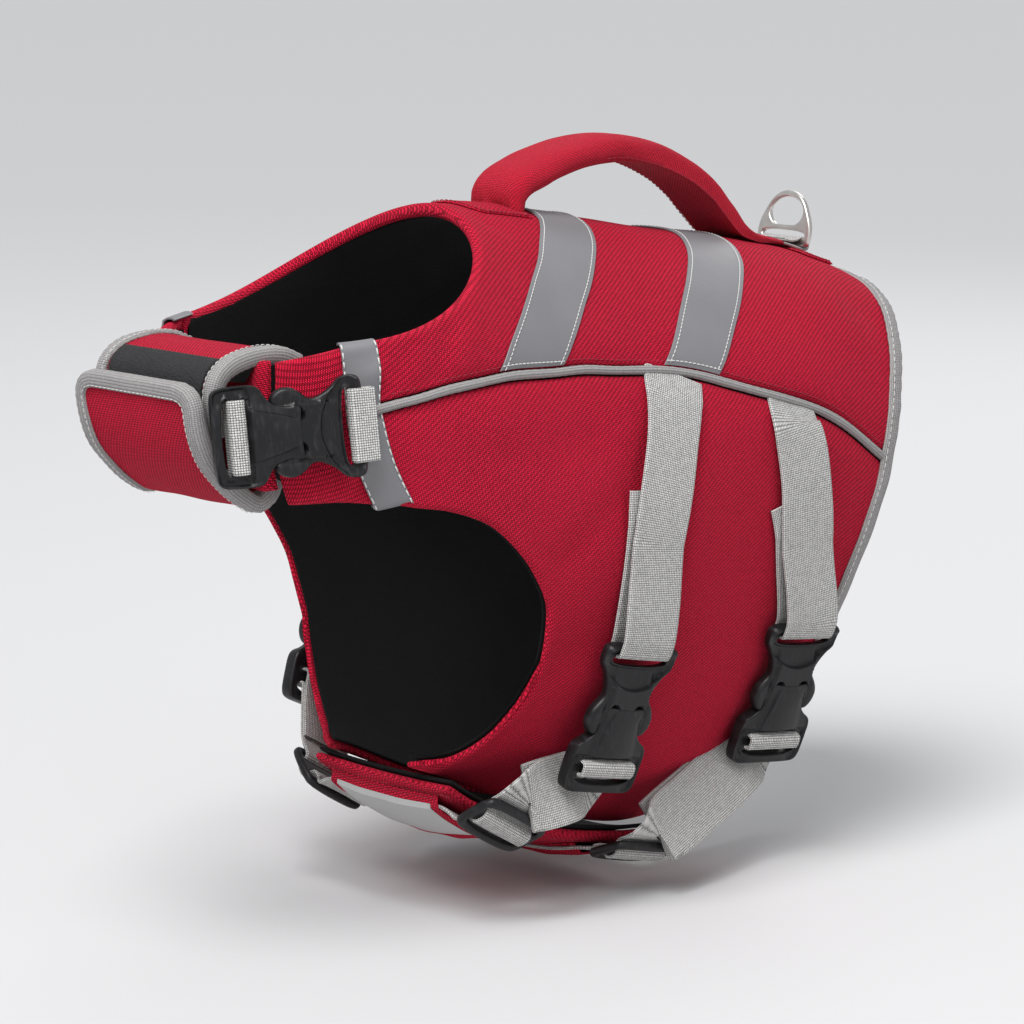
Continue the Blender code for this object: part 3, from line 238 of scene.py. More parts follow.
def cloth_material(name, cloth):
    """A woven cloth: yarn size in mm along and across, relief and fuzz in mm of bump, under how
    much darker the crossing yarns are painted, and fade how far its colour has gone in patches.
    The colour runs from dark to light with the height of the weave, so its hollows and the
    crossing yarns carry painted shade."""
    made, tree, shader = new_material(name)
    place = put(tree, "ShaderNodeTexCoord").outputs["Object"]
    laid = put(tree, "ShaderNodeUVMap", uv_map="cloth").outputs[0]
    scale, turned = (1 / cloth.yarn[0], 1 / cloth.yarn[1], 1), (0, 0, math.radians(cloth.turn))
    yarns = put(tree, "ShaderNodeMapping", [(laid, "Vector")], Scale=scale, Rotation=turned).outputs[0]
    weave = put(
        tree, "ShaderNodeGroup", [(yarns, "Yarns")], node_tree=WEAVE, Repeat=cloth.repeat, Slub=cloth.slub
    ).outputs
    nap = put(tree, "ShaderNodeGroup", [(place, "Place")], node_tree=NAP).outputs
    math_node = partial(sums, tree)
    # Painted shade: darker where the weave lies low and where the crossing yarn is on top.
    relief = math_node("SUBTRACT", math_node("MULTIPLY", weave["Height"], 1.35), 0.45)
    raised = math_node("MULTIPLY", math_node("SUBTRACT", weave["Warp"], 1), cloth.under)
    uneven = math_node("MULTIPLY", weave["Tone"], 0.4)
    tone = math_node("ADD", math_node("ADD", relief, raised), uneven, clamp=True)
    woven = blend(tree, tone, cloth.dark, cloth.light)
    colour = blend(tree, math_node("MULTIPLY", nap["Fade"], cloth.fade), woven, cloth.faded)
    rough = math_node("MULTIPLY_ADD", nap["Fade"], 0.12, cloth.roughness - 0.06)
    fuzz = bump(tree, nap["Fuzz"], cloth.fuzz, 0.6)
    wire(tree, shader, colour, rough, bump(tree, weave["Height"], cloth.relief, 0.8, fuzz))
    shader["Sheen Weight"].default_value = cloth.sheen
    shader["Sheen Roughness"].default_value = 0.45
    shader["Sheen Tint"].default_value = (*cloth.sheen_tint, 1)
    shader["Specular IOR Level"].default_value = cloth.specular
    return made


# dark is the painted shade in the hollows of the weave, light the yarn tops in full light.
RED = Cloth(
    dark=(0.20, 0.001, 0.011), light=(0.95, 0.014, 0.066), faded=(0.76, 0.022, 0.060), roughness=0.9, sheen=0.03,
    sheen_tint=(1.0, 0.5, 0.55), yarn=(0.62, 0.62), turn=-10, repeat=3.0, slub=0.3, relief=0.9, fuzz=0.12,
    under=0.62, fade=0.2, specular=0.15,
)
RED_CLOTH = cloth_material("carmine_oxford", RED)
# The span from dark to light is painted shade across the weave.
LINING_CLOTH = cloth_material("black_lining_knit", Cloth(
    dark=(0.0008, 0.0008, 0.001), light=(0.005, 0.005, 0.0056), faded=(0.006, 0.006, 0.0066), roughness=0.95,
    sheen=0.006, sheen_tint=(0.8, 0.85, 0.9), yarn=(0.7, 0.9), turn=0, repeat=2.0, slub=0.6, relief=0.2, fuzz=0.2,
))


# ---- back, sides and neck arms ---------------------------------------------------------------
# Five padded panels of the red cloth over thin closed-cell foam, sewn edge to edge. Each swells a
# little between its seams, dips into them, and rolls over at its free edges onto the lining.

# The body form that every panel lies on, one row a ring from the neck edge to the rear edge.
# A place on it is (u, deg): u from 0 at the neck to 1 at the rear, deg from 0 on the ridge of the
# back to 180 under the belly, negative on the right. The right half lies a little fuller.
Ring = namedtuple("Ring", "top_y top_z side_x side_y side_z bottom_y bottom_z fullness")
RINGS = [Ring(*row) for row in (
    (-120, 23.5, 57.5, -171.4, -10, -243.5, -14, 1.00), (-90, 20, 64.5, -162.3, -44, -243.5, -72, 1.00),
    (-45, 13, 72.2, -128, -79, -200, -144, 0.95), (0, 5, 75.2, -73, -88, -125, -194, 0.90),
    (50, -4, 72, -4, -86, -58, -220, 0.85), (86.5, -16.8, 67.5, 53, -84, 6, -218, 1.00),
)]
RIGHT_RINGS = [Ring(*row) for row in (
    (-120, 23.5, 56, -169.5, -10.1, -243.5, -14, 1.0), (-90, 20, 64.3, -162.1, -43.9, -243.5, -72, 1.02),
    (-45, 13, 73.5, -129.4, -79.3, -200, -144, 0.84), (0, 5, 77, -75.2, -88.9, -125, -194, 0.78),
    (50, -4, 71.8, -3.8, -85.9, -58, -220, 0.87), (86.5, -16.8, 67.5, 53, -84, 6, -218, 1.00),
)]
SHELL, LINING, LINING_GAP, LAID, CLEAR = 3.7, 1.0, 0.4, 0.5, 0.3
WALL = SHELL + LINING + LINING_GAP
PIPING_RADIUS, PANEL_ROLL = 1.6, 2.4
SEAM, SEAM_CLEAR = 0.15, PIPING_RADIUS + CLEAR
FRONT_U_PER_MM = 0.0035

Place = namedtuple("Place", "u deg")
BAND_DEG, PIPING_START, ARM_LOW, ARM_END_DEG = 115.5, 0.105, 0.243, 140.0
PIPING = [Place(*row) for row in (
    (PIPING_START, BAND_DEG), (0.113, 103), (0.140, 88.5), (0.205, 74.5), (0.290, 64.5), (0.365, 59),
    (0.485, 57), (0.610, 61), (0.760, 70.5), (0.875, 78.5), (1.0, 89),
)]
LEG_EDGE = [Place(*row) for row in (
    (ARM_LOW, BAND_DEG), (0.259, 111.3), (0.293, 104), (0.345, 99.4), (0.411, 100.7), (0.473, 106.5),
    (0.506, 112.9), (0.538, 123.5), (0.549, 134), (0.550, 145), (0.547, 154), (0.540, 161), (0.529, 167),
)]
HEM = [Place(*row) for row in ((0.529, 167), (0.57, 163), (0.66, 162), (0.78, 162.5), (0.90, 163), (1.0, 161))]
ARM_EDGE = [Place(0.205, ARM_END_DEG), Place(0.217, 127), Place(ARM_LOW, BAND_DEG)]
REAR_DIP, REAR_DIP_DEG = 0.018, 60.0


def smooth(rows, at):
    """Rows of numbers read as a smooth curve through them, at fractions of its rows from 0 to 1."""
    rows = np.asarray(rows, float)
    last = len(rows) - 1
    place = np.clip(np.asarray(at, float), 0, 1) * last
    cell = np.minimum(place.astype(int), last - 1)
    t = (place - cell)[..., None]
    ends = np.concatenate([[2 * rows[0] - rows[1]], rows, [2 * rows[-1] - rows[-2]]])
    a, b, c, d = ends[cell], ends[cell + 1], ends[cell + 2], ends[cell + 3]
    return 0.5 * (2 * b + (c - a) * t + (2 * a - 5 * b + 4 * c - d) * t**2 + (3 * b - a - 3 * c + d) * t**3)


def run(points):
    """How far along a row of points each one lies."""
    return np.concatenate([[0], np.cumsum(np.linalg.norm(np.diff(points, axis=0), axis=1))])


def sampled(rows, wanted, along=None):
    """Rows of numbers read at these distances along them."""
    along = run(rows) if along is None else along
    return np.stack([np.interp(wanted, along, column) for column in np.asarray(rows, float).T], 1)


def eased(rows, count, measure=lambda rows: rows):
    """Count points at even steps along the smooth curve through the rows."""
    fine = smooth(rows, np.linspace(0, 1, 40 * len(rows)))
    along = run(measure(fine))
    return sampled(fine, np.linspace(0, along[-1], count), along)


def ease_between(start, end, start_slope, end_slope, t):
    return (
        (2 * t**3 - 3 * t**2 + 1) * start + (t**3 - 2 * t**2 + t) * start_slope
        + (3 * t**2 - 2 * t**3) * end + (t**3 - t**2) * end_slope
    )


def eased_step(value):
    """From 0 to 1 with level ends as the value goes from 0 to 1."""
    value = np.clip(value, 0, 1)
    return value * value * (3 - 2 * value)


def on_form(u, deg):
    """The point of the body form at this place."""
    u, deg = np.broadcast_arrays(np.asarray(u, float), np.asarray(deg, float))
    deg = (deg + 180) % 360 - 180
    ring = Ring(*np.moveaxis(np.where(deg[..., None] < 0, smooth(RIGHT_RINGS, u), smooth(RINGS, u)), -1, 0))
    angle, quarter = np.radians(np.abs(deg)), math.pi / 2
    x = np.sign(deg) * ring.side_x * np.maximum(np.sin(angle), 0) ** ring.fullness
    upper, lower = angle / quarter, (angle - quarter) / quarter
    both = []
    lengthwise, upright = (ring.top_y, ring.side_y, ring.bottom_y), (ring.top_z, ring.side_z, ring.bottom_z)
    for top, side, bottom in (lengthwise, upright):
        slope = (bottom - top) / 2 * quarter
        above, below = ease_between(top, side, 0, slope, upper), ease_between(side, bottom, slope, 0, lower)
        both.append(np.where(angle <= quarter, above, below))
    return np.stack([x, *both], -1)


def unit(vectors):
    return vectors / np.linalg.norm(vectors, axis=-1, keepdims=True)


def form_normal(u, deg):
    along = on_form(np.add(u, 0.004), deg) - on_form(np.subtract(u, 0.004), deg)
    round_it = on_form(u, np.add(deg, 0.6)) - on_form(u, np.subtract(deg, 0.6))
    return unit(np.cross(round_it, along))


def body(u, deg, out=0.0):
    """The point that lies out above the body form at (u, deg)."""
    return on_form(u, deg) + form_normal(u, deg) * np.asarray(out, float)[..., None]


def places(rows, count):
    return eased(rows, count, lambda line: on_form(line[:, 0], line[:, 1]))


def shifted(line, mm):
    """A line of places moved sideways over the body by this many mm, downward if positive."""
    u, deg = line[:, 0], line[:, 1]
    along_u = (on_form(u + 0.004, deg) - on_form(u - 0.004, deg)) / 0.008
    along_deg = on_form(u, deg + 0.5) - on_form(u, deg - 0.5)
    sideways = unit(np.cross(np.gradient(on_form(u, deg), axis=0), form_normal(u, deg)))
    moved = np.array(line, float)
    for row, (a, b, step) in enumerate(zip(along_u, along_deg, sideways * mm)):
        moved[row] += np.linalg.lstsq(np.stack([a, b], 1), step, rcond=None)[0]
    return moved


def mm_per_degree(u, deg):
    return np.linalg.norm(on_form(u, deg + 0.5) - on_form(u, deg - 0.5), axis=-1)


def band_line(u, mm):
    """Degrees of the line under the neck band, moved down round the body by this much."""
    return BAND_DEG + mm / mm_per_degree(u, BAND_DEG)


def rear_u(deg):
    """The rear edge's u: it is cut in a little between the ridge and the piping's end."""
    return 1 - REAR_DIP * np.clip(1 - ((np.abs(deg) - REAR_DIP_DEG) / 34) ** 2, 0, 1) ** 1.5


def rear_line(start_deg, end_deg, count):
    deg = np.linspace(start_deg, end_deg, count)
    return np.stack([rear_u(deg), deg], 1)


def patch(front, rear, top, bottom):
    """Places over a four-sided panel from its four edge lines, rows along it, columns down it."""
    s = np.linspace(0, 1, len(top))[:, None, None]
    t = np.linspace(0, 1, len(front))[None, :, None]
    corners = (1 - s) * ((1 - t) * front[0] + t * front[-1]) + s * ((1 - t) * rear[0] + t * rear[-1])
    return (1 - s) * front + s * rear + (1 - t) * top[:, None] + t * bottom[:, None] - corners


ROWS, COLUMNS = 80, 41


def back_places(seam):
    """Half of the back. Its front runs along the neck edge and then down the neck band."""
    piping = shifted(places(PIPING, ROWS), -seam)
    start = np.array([PIPING_START - seam * FRONT_U_PER_MM])
    piping[0] = (start[0], band_line(start, -SEAM)[0])
    corner = band_line(np.zeros(1), -SEAM)[0]
    neck, down = np.linspace((0, 0), (0, corner), COLUMNS - 5), np.linspace((0, corner), piping[0], 6)
    front = np.concatenate([neck, down[1:]])
    rear = rear_line(0, piping[-1, 1], COLUMNS)
    piping[-1, 0] = rear[-1, 0]
    return patch(front, rear, np.linspace((0, 0), (1, 0), ROWS), piping)


def side_places(seam):
    """A side panel, from the piping down to the leg hole and the hem."""
    piping = shifted(places(PIPING, ROWS), seam)
    front_u = np.linspace(PIPING_START + seam * FRONT_U_PER_MM, ARM_LOW, COLUMNS)
    front = np.stack([front_u, band_line(front_u, -SEAM)], 1)
    piping[0] = front[0]
    leg_rows = round(ROWS * 0.7)
    leg = places(LEG_EDGE, leg_rows)
    leg[0] = front[-1]
    lower = np.concatenate([leg, places(HEM, ROWS - leg_rows + 1)[1:]])
    rear = rear_line(piping[-1, 1], lower[-1, 1], COLUMNS)
    rear[-1] = lower[-1]
    piping[-1, 0] = rear[0, 0]
    return patch(front, rear, piping, lower)


def arm_places():
    """A neck arm, from the band forward to its end by the throat."""
    low = places(ARM_EDGE[::-1], ROWS // 2)
    neck_edge = np.stack([np.linspace(0, 0.02, len(low)), low[:, 1]], 1)
    seam_u = np.linspace(0, ARM_LOW, COLUMNS)
    front = np.stack([seam_u, band_line(seam_u, SEAM)], 1)
    share = (seam_u / ARM_LOW)[:, None]
    neck_edge[0], low[0] = front[0], front[-1]
    return patch(front, neck_edge[-1] * (1 - share) + low[-1] * share, neck_edge, low)


def whole_back(half):
    other = half[:, :0:-1].copy()
    other[..., 1] *= -1
    return np.concatenate([other, half], axis=1)


FINE = np.array([0, 0.12, 0.5, 1.1, 1.9, 3.0, 4.3])  # steps in from an edge that rolls over


def regrid(grid, spacing, close=FINE):
    """The same panel with close lines near all four edges and even ones between them."""
    for axis in (0, 1):
        lines = np.moveaxis(grid, axis, 0)
        measured = on_form(lines[..., 0], lines[..., 1])
        steps = np.linalg.norm(np.diff(measured, axis=0), axis=-1)
        along = np.concatenate([np.zeros((1, steps.shape[1])), np.cumsum(steps, axis=0)])
        longest = along[-1].max()
        between = max(2, round((longest - 2 * close[-1]) / spacing))
        out = np.zeros((2 * len(close) + between - 1, lines.shape[1], 2))
        for line in range(lines.shape[1]):
            length = along[-1, line]
            near = close * min(1, 0.3 * length / close[-1])
            even = np.linspace(near[-1], length - near[-1], between + 1)[1:-1]
            wanted = np.concatenate([near, even, length - near[::-1]])
            out[:, line] = sampled(lines[:, line], wanted, along[:, line])
        grid = np.moveaxis(out, 0, axis)
    return grid


def distance(points, line):
    """How far each point lies from a line of points."""
    flat = points.reshape(-1, 3)
    nearest = np.full(len(flat), np.inf)
    for start, end in zip(line, line[1:]):
        leg = end - start
        share = np.clip((flat - start) @ leg / max(leg @ leg, 1e-9), 0, 1)
        nearest = np.minimum(nearest, np.linalg.norm(flat - start - share[:, None] * leg, axis=1))
    return nearest.reshape(points.shape[:-1])


# Soft creases and swellings in the padding: two ends on the form, how wide and how
# high, negative for a crease. They pull from the seams, the straps and the handle's feet.
Fold = namedtuple("Fold", "u0 deg0 u1 deg1 width rise")
FOLDS = [Fold(*row) for row in (
    (0.02, 18, 0.13, 24, 4.5, -0.8), (0.03, 33, 0.12, 44, 6, -0.6), (0.02, 70, 0.10, 84, 6, 0.7),
    (0.03, 84, 0.12, 98, 5, -0.7), (0.02, 99, 0.09, 111, 3.6, -0.9), (0.01, 104, 0.05, 112, 3, 0.7),
    (0.30, 86, 0.40, 74, 8, -0.7), (0.47, 98, 0.53, 76, 7, -0.8), (0.55, 122, 0.62, 100, 9, -0.9),
    (0.56, 140, 0.70, 128, 8, -0.8), (0.58, 156, 0.72, 150, 5, -0.9), (0.70, 148, 0.86, 140, 7, 0.9),
    (0.62, 74, 0.66, 100, 7, 0.6), (0.86, 92, 0.93, 126, 9, -0.8), (0.90, 104, 0.985, 110, 6, -0.7),
    (0.40, 20, 0.55, 30, 10, -0.5), (0.74, 14, 0.90, 40, 10, -0.6), (0.90, 8, 0.985, 24, 7, 0.8),
    (0.88, 44, 0.985, 52, 8, -0.7), (0.20, 40, 0.30, 56, 8, -0.5), (0.42, 46, 0.47, 55, 5, -0.5),
    (0.03, 120, 0.16, 122, 3.4, -0.8), (0.02, 131, 0.14, 128, 4, -0.9), (0.08, 136, 0.19, 133, 4, 0.8),
)]
FOLDS_ON = {1: FOLDS, -1: [
    Fold(f.u0 + 0.012, f.deg0 * 0.97, f.u1 - 0.008, f.deg1 * 1.02, f.width * 1.1, f.rise * 0.85) for f in FOLDS
]}
piping_line = places(PIPING, 60)


def swell(u, deg):
    """How high the padded cloth stands above the form at any place on the jacket."""
    u, deg = np.broadcast_arrays(np.asarray(u, float), np.asarray(deg, float))
    points = on_form(u, deg)
    side = np.where(deg < 0, -1, 1)
    rise = np.zeros(u.shape)
    for sign in (1, -1):
        seam = distance(points, on_form(piping_line[:, 0], piping_line[:, 1] * sign))
        rise -= 1.1 * np.exp(-((seam / 4.5) ** 2))
        rise += 0.9 * np.exp(-(((seam - 13) / 11) ** 2))
        band = np.stack([np.linspace(0, ARM_LOW, 12), np.full(12, BAND_DEG * sign)], 1)
        rise -= 0.5 * np.exp(-((distance(points, on_form(band[:, 0], band[:, 1])) / 7) ** 2))
        for fold in FOLDS_ON[sign]:
            share = np.linspace(0, 1, 7)
            fold_deg = fold.deg0 + (fold.deg1 - fold.deg0) * share
            away = distance(points, on_form(fold.u0 + (fold.u1 - fold.u0) * share, fold_deg * sign))
            rise += np.where(side == sign, fold.rise * np.exp(-((away / fold.width) ** 2)), 0)
    x, y, z = np.moveaxis(points, -1, 0)
    rise += 0.28 * np.sin(x / 15 + 1.1) * np.sin(y / 19 + z / 37)
    rise += 0.22 * np.sin(z / 13 + y / 23 + 2) * np.sin(y / 11 - x / 29)
    round_it = np.arange(-180, 181, 6.0)
    for edge in (body(rear_u(round_it), round_it), on_form(0, round_it)):
        rise *= np.clip((distance(points, edge) - 1) / 9, 0, 1)
    return rise


def cloth_map(u, deg):
    """Where the cloth of a panel lies in its own flat piece: along the back, and down from the ridge."""
    u, deg = np.broadcast_arrays(np.asarray(u, float), np.asarray(deg, float))
    around = np.linspace(0, 1, 40)
    points = on_form(u[..., None], deg[..., None] * around)
    down = np.linalg.norm(np.diff(points[..., [0, 2]], axis=-2), axis=-1).sum(-1)
    return np.stack([points[..., -1, 1], down * np.sign(deg)], -1)


def grid_faces(rows, columns, start=0):
    index = start + np.arange(rows * columns).reshape(rows, columns)
    return np.stack([index[:-1, :-1], index[:-1, 1:], index[1:, 1:], index[1:, :-1]], -1).reshape(-1, 4)


def flat_map(face, row=None):
    """Where a sheet of points lies in its own flat piece, from the runs of its middle lines."""
    rows, columns = face.shape[:2]
    along, across = run(face[:, columns // 2]), run(face[rows // 2 if row is None else row])
    return np.stack(np.meshgrid(along, across, indexing="ij"), -1)


def edge_depths(face):
    """How far in from each of a sheet's four edges its points lie."""
    return [distance(face, line) for line in (face[0], face[-1], face[:, 0], face[:, -1])]


JOINED, DISSOLVED = 0.000004, 0.000001


def add_piece(name, points, faces, finish, sharp=45, uv=None):
    """A shown piece from points in mm and faces, which rides on the jacket's one body. A cloth one has
    the place of each face corner on the cloth's map, and its points that meet are joined."""
    mesh = bpy.data.meshes.new(name)
    mesh.from_pydata((np.asarray(points) * MM).tolist(), [], faces)
    if uv is not None:
        mesh.uv_layers.new(name="cloth").uv.foreach_set("vector", np.asarray(uv, np.float32).ravel())
    shape = bmesh.new()
    shape.from_mesh(mesh)
    if uv is not None:
        bmesh.ops.remove_doubles(shape, verts=shape.verts, dist=JOINED)
        bmesh.ops.dissolve_degenerate(shape, edges=shape.edges, dist=DISSOLVED)
    bmesh.ops.recalc_face_normals(shape, faces=shape.faces)
    shape.to_mesh(mesh)
    shape.free()
    mesh.shade_smooth()
    mesh.set_sharp_from_angle(angle=math.radians(sharp))
    mesh.materials.append(finish)
    made = bpy.data.objects.new(name, mesh)
    bpy.context.scene.collection.objects.link(made)
    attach(made, "root")
    return made


def two_faced(name, outer, inner, uv, finish):
    """A closed sheet between two grids of points, joined round its edges."""
    rows, columns = outer.shape[:2]
    points = np.concatenate([outer.reshape(-1, 3), inner.reshape(-1, 3)])
    flat = np.concatenate([uv.reshape(-1, 2)] * 2)
    index = np.arange(rows * columns).reshape(rows, columns)
    rim = np.concatenate([index[0], index[1:, -1], index[-1, -2::-1], index[-2:0:-1, 0]])
    there = np.roll(rim, -1)
    faces = np.concatenate([
        grid_faces(rows, columns), grid_faces(rows, columns, rows * columns)[:, ::-1],
        np.stack([rim, rim + rows * columns, there + rows * columns, there], -1),
    ])
    return add_piece(name, points, faces.tolist(), finish, uv=flat[faces])


def cushion(name, node, outer, inner, uv):
    """A padded piece of the red cloth between two grids of points, which stands for its node."""
    made = two_faced(name, outer, inner, uv, RED_CLOTH)
    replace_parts(made, node)


def rolled(depth, reach):
    """From 0 at an edge to 1 where the roll ends, along a quarter circle."""
    return np.sqrt(np.maximum(1 - (1 - np.clip(depth / reach, 0, 1)) ** 2, 0))


def rim_roll(face, reach):
    """The roll of a sheet at its four edges, for each of its points."""
    return rolled(np.min(edge_depths(face), axis=0), reach)[..., None]


def padded_panel(name, grid, side, neck_edge=None):
    """A padded panel closed round all four edges. Along a neck edge it is as thick as the whole
    wall, because it is turned over the lining's edge there."""
    u, deg = grid[..., 0], grid[..., 1] * side
    depths = edge_depths(on_form(u, deg))
    near = np.min(depths, axis=0)
    roll, thick = rolled(near, PANEL_ROLL), np.full(u.shape, SHELL)
    if neck_edge is not None:
        thick += (WALL - SHELL) * np.clip(1.9 - depths[neck_edge] / PANEL_ROLL, 0, 1)
    height = swell(u, deg) * np.clip(near / 3, 0, 1)
    outer = body(u, deg, (roll - 1) * thick / 2 + height * roll)
    inner = body(u, deg, -thick + (1 - roll) * thick / 2)
    cushion("sewn_" + name, name, outer, inner, cloth_map(u, deg))


SPACING = 2.4  # mm between a padded panel's lines, away from its edges
FRONT, TOP = 0, 2  # the sides of a panel's grid that can lie along the neck
padded_panel("back_panel", regrid(whole_back(back_places(SEAM_CLEAR)), SPACING), 1, FRONT)
for ending, side in SIDES.items():
    padded_panel("side_panel_" + ending, regrid(side_places(SEAM_CLEAR), SPACING), side)
    padded_panel("neck_arm_" + ending, regrid(arm_places(), SPACING), side, TOP)


# ---- linings ---------------------------------------------------------------------------------
# Thin black knit sewn in behind each padded panel, slack enough to lie in shallow folds. It stops
# short of the neck edge, where the red cloth is turned over it.


def cloth_sheet(name, node, outer, inner, uv, finish, slot, held, rests_on):
    """A thin sewn sheet that stands for its node."""
    made = two_faced(name, outer, inner, uv, finish)
    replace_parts(made, node)


def lining(panel, grid, side):
    u, deg = grid[..., 0], grid[..., 1] * side
    surface = on_form(u, deg)
    near = np.min(edge_depths(surface), axis=0)
    x, y, z = np.moveaxis(surface, -1, 0)
    slack = 0.5 + 0.28 * np.sin(z / 9 + y / 21 + x / 14) + 0.22 * np.sin(y / 7.5 - z / 17 + 1.3 * side)
    slack *= np.clip(near / 9, 0, 1)
    rim = (1 - rolled(near, 0.8)) * LINING / 2
    top = -SHELL - LINING_GAP
    outer, inner = body(u, deg, top - rim), body(u, deg, top - LINING - slack + rim)
    node = panel + "_lining"
    cloth_sheet("sewn_" + node, node, outer, inner, cloth_map(u, deg), LINING_CLOTH, "black_lining", "stretched",
                ["sewn_" + panel])


def set_in(grid, edge_axis, mm):
    """The same panel with its first line moved in from the edge."""
    lines = np.moveaxis(grid, edge_axis, 0).copy()
    measured = on_form(lines[..., 0], lines[..., 1])
    for line in range(lines.shape[1]):
        along = run(measured[:, line])
        wanted = mm + along * (along[-1] - mm) / along[-1]
        lines[:, line] = sampled(lines[:, line], wanted, along)
    return np.moveaxis(lines, 0, edge_axis)


LINING_STEPS, LINING_SPACING, ARM_LINING_SPACING = np.array([0, 0.2, 0.6, 1.2]), 3.2, 2.6
NECK_TURN, PIPING_OVERLAP = 4.0, 0.9
whole = set_in(whole_back(back_places(SEAM - PIPING_OVERLAP)), 0, NECK_TURN)
lining("back_panel", regrid(whole, LINING_SPACING, LINING_STEPS), 1)
for ending, side in SIDES.items():
    lining("side_panel_" + ending, regrid(side_places(SEAM), LINING_SPACING, LINING_STEPS), side)
    arm = set_in(arm_places(), 1, NECK_TURN)
    lining("neck_arm_" + ending, regrid(arm, ARM_LINING_SPACING, LINING_STEPS), side)


# ---- piping ----------------------------------------------------------------------------------
# A cord in light grey woven tape, let into both seams between the back and the sides, from under
# the neck band to under the rear binding.

# The span from dark to light is painted shade across the weave.
GREY_BINDING = cloth_material("light_grey_binding_tape", Cloth(
    dark=(0.14, 0.135, 0.135), light=(0.40, 0.385, 0.385), faded=(0.36, 0.35, 0.34), roughness=0.82,
    sheen=0.04, sheen_tint=(1, 1, 1), yarn=(1.15, 0.62), turn=0, repeat=2.0, slub=0.4, relief=0.28, fuzz=0.06,
))


CORD_SIDES, PIPING_SUNK, PIPING_UNDER_BINDING = 12, 0.35, 4.0


def loft_piece(name, node, rings, finish, sharp=45):
    """A piece through rings of points, closed at both ends, for its node. Its cloth runs along it."""
    rings = np.asarray(rings, float)
    ends = [np.repeat(ring.mean(axis=0, keepdims=True), len(ring), 0)[None] for ring in (rings[0], rings[-1])]
    rings = np.concatenate([ends[0], rings, ends[1]])
    rows, sides = rings.shape[:2]
    looped = np.concatenate([rings, rings[:, :1]], axis=1)
    around = np.linalg.norm(np.diff(looped, axis=1), axis=-1).max(axis=0)
    along = run(rings.mean(axis=1))
    uv = np.stack(np.meshgrid(np.concatenate([[0], np.cumsum(around)]), along), -1).reshape(-1, 2)
    index = np.arange(rows * sides).reshape(rows, sides)
    index = np.concatenate([index, index[:, :1]], axis=1).ravel()
    faces = grid_faces(rows, sides + 1)
    made = add_piece(name, rings.reshape(-1, 3), index[faces].tolist(), finish, sharp, uv[faces])
    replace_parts(made, node)
    return made


def carried(points, across):
    """Directions across a line of points, square to it, starting from this one and never twisting."""
    ahead = unit(np.gradient(points, axis=0))
    found = [across - ahead[0] * (across @ ahead[0])]
    for direction in ahead[1:]:
        last = found[-1]
        found.append(last - direction * (last @ direction))
    found = unit(np.array(found))
    return found, np.cross(ahead, found)


def round_rings(points, radius):
    """Rings of a cord round a line of points."""
    across, up = carried(points, np.array([0.3, 0.2, 0.9]))
    angles = np.arange(CORD_SIDES) * 2 * math.pi / CORD_SIDES
    radius = np.broadcast_to(radius, len(points))[:, None, None]
    spokes = across[:, None] * np.cos(angles)[:, None] + up[:, None] * np.sin(angles)[:, None]
    return points[:, None] + spokes * radius


line = places(PIPING, 170)
for ending, side in SIDES.items():
    points = body(line[:, 0], line[:, 1] * side, -PIPING_SUNK)
    points[:2] = points[2:4] * 2 - points[5:3:-1]
    points[-1] = points[-1] + unit(points[-2] - points[-1]) * PIPING_UNDER_BINDING
    pucker = PIPING_RADIUS + 0.06 * np.sin(run(points) * 2.3) + 0.05 * np.sin(run(points) / 5)
    rings = round_rings(points[:-1], pucker[:-1])
    made = loft_piece("sewn_piping_" + ending, "piping_" + ending, rings, GREY_BINDING)


# ---- stitching -------------------------------------------------------------------------------
# Bonded polyester thread in lock stitch: each stitch a short arch that sinks into the cloth at
# both ends. White-grey thread on the tapes and bindings, red on the red cloth.

STITCH_SIDES = 5


def thread_material(name, dark, light):
    made, tree, shader = new_material(name)
    laid = put(tree, "ShaderNodeUVMap", uv_map="cloth").outputs[0]
    twist = put(tree, "ShaderNodeTexWave", [(laid, "Vector")], Scale=1.6, Distortion=0.6).outputs["Fac"]
    tree.links.new(blend(tree, twist, dark, light), shader["Base Color"])
    shader["Roughness"].default_value = 0.6
    return made


GREY_THREAD = thread_material("white_grey_thread", (0.45, 0.45, 0.44), (0.8, 0.8, 0.78))
RED_THREAD = thread_material("red_thread", (0.16, 0.004, 0.014), (0.45, 0.012, 0.04))


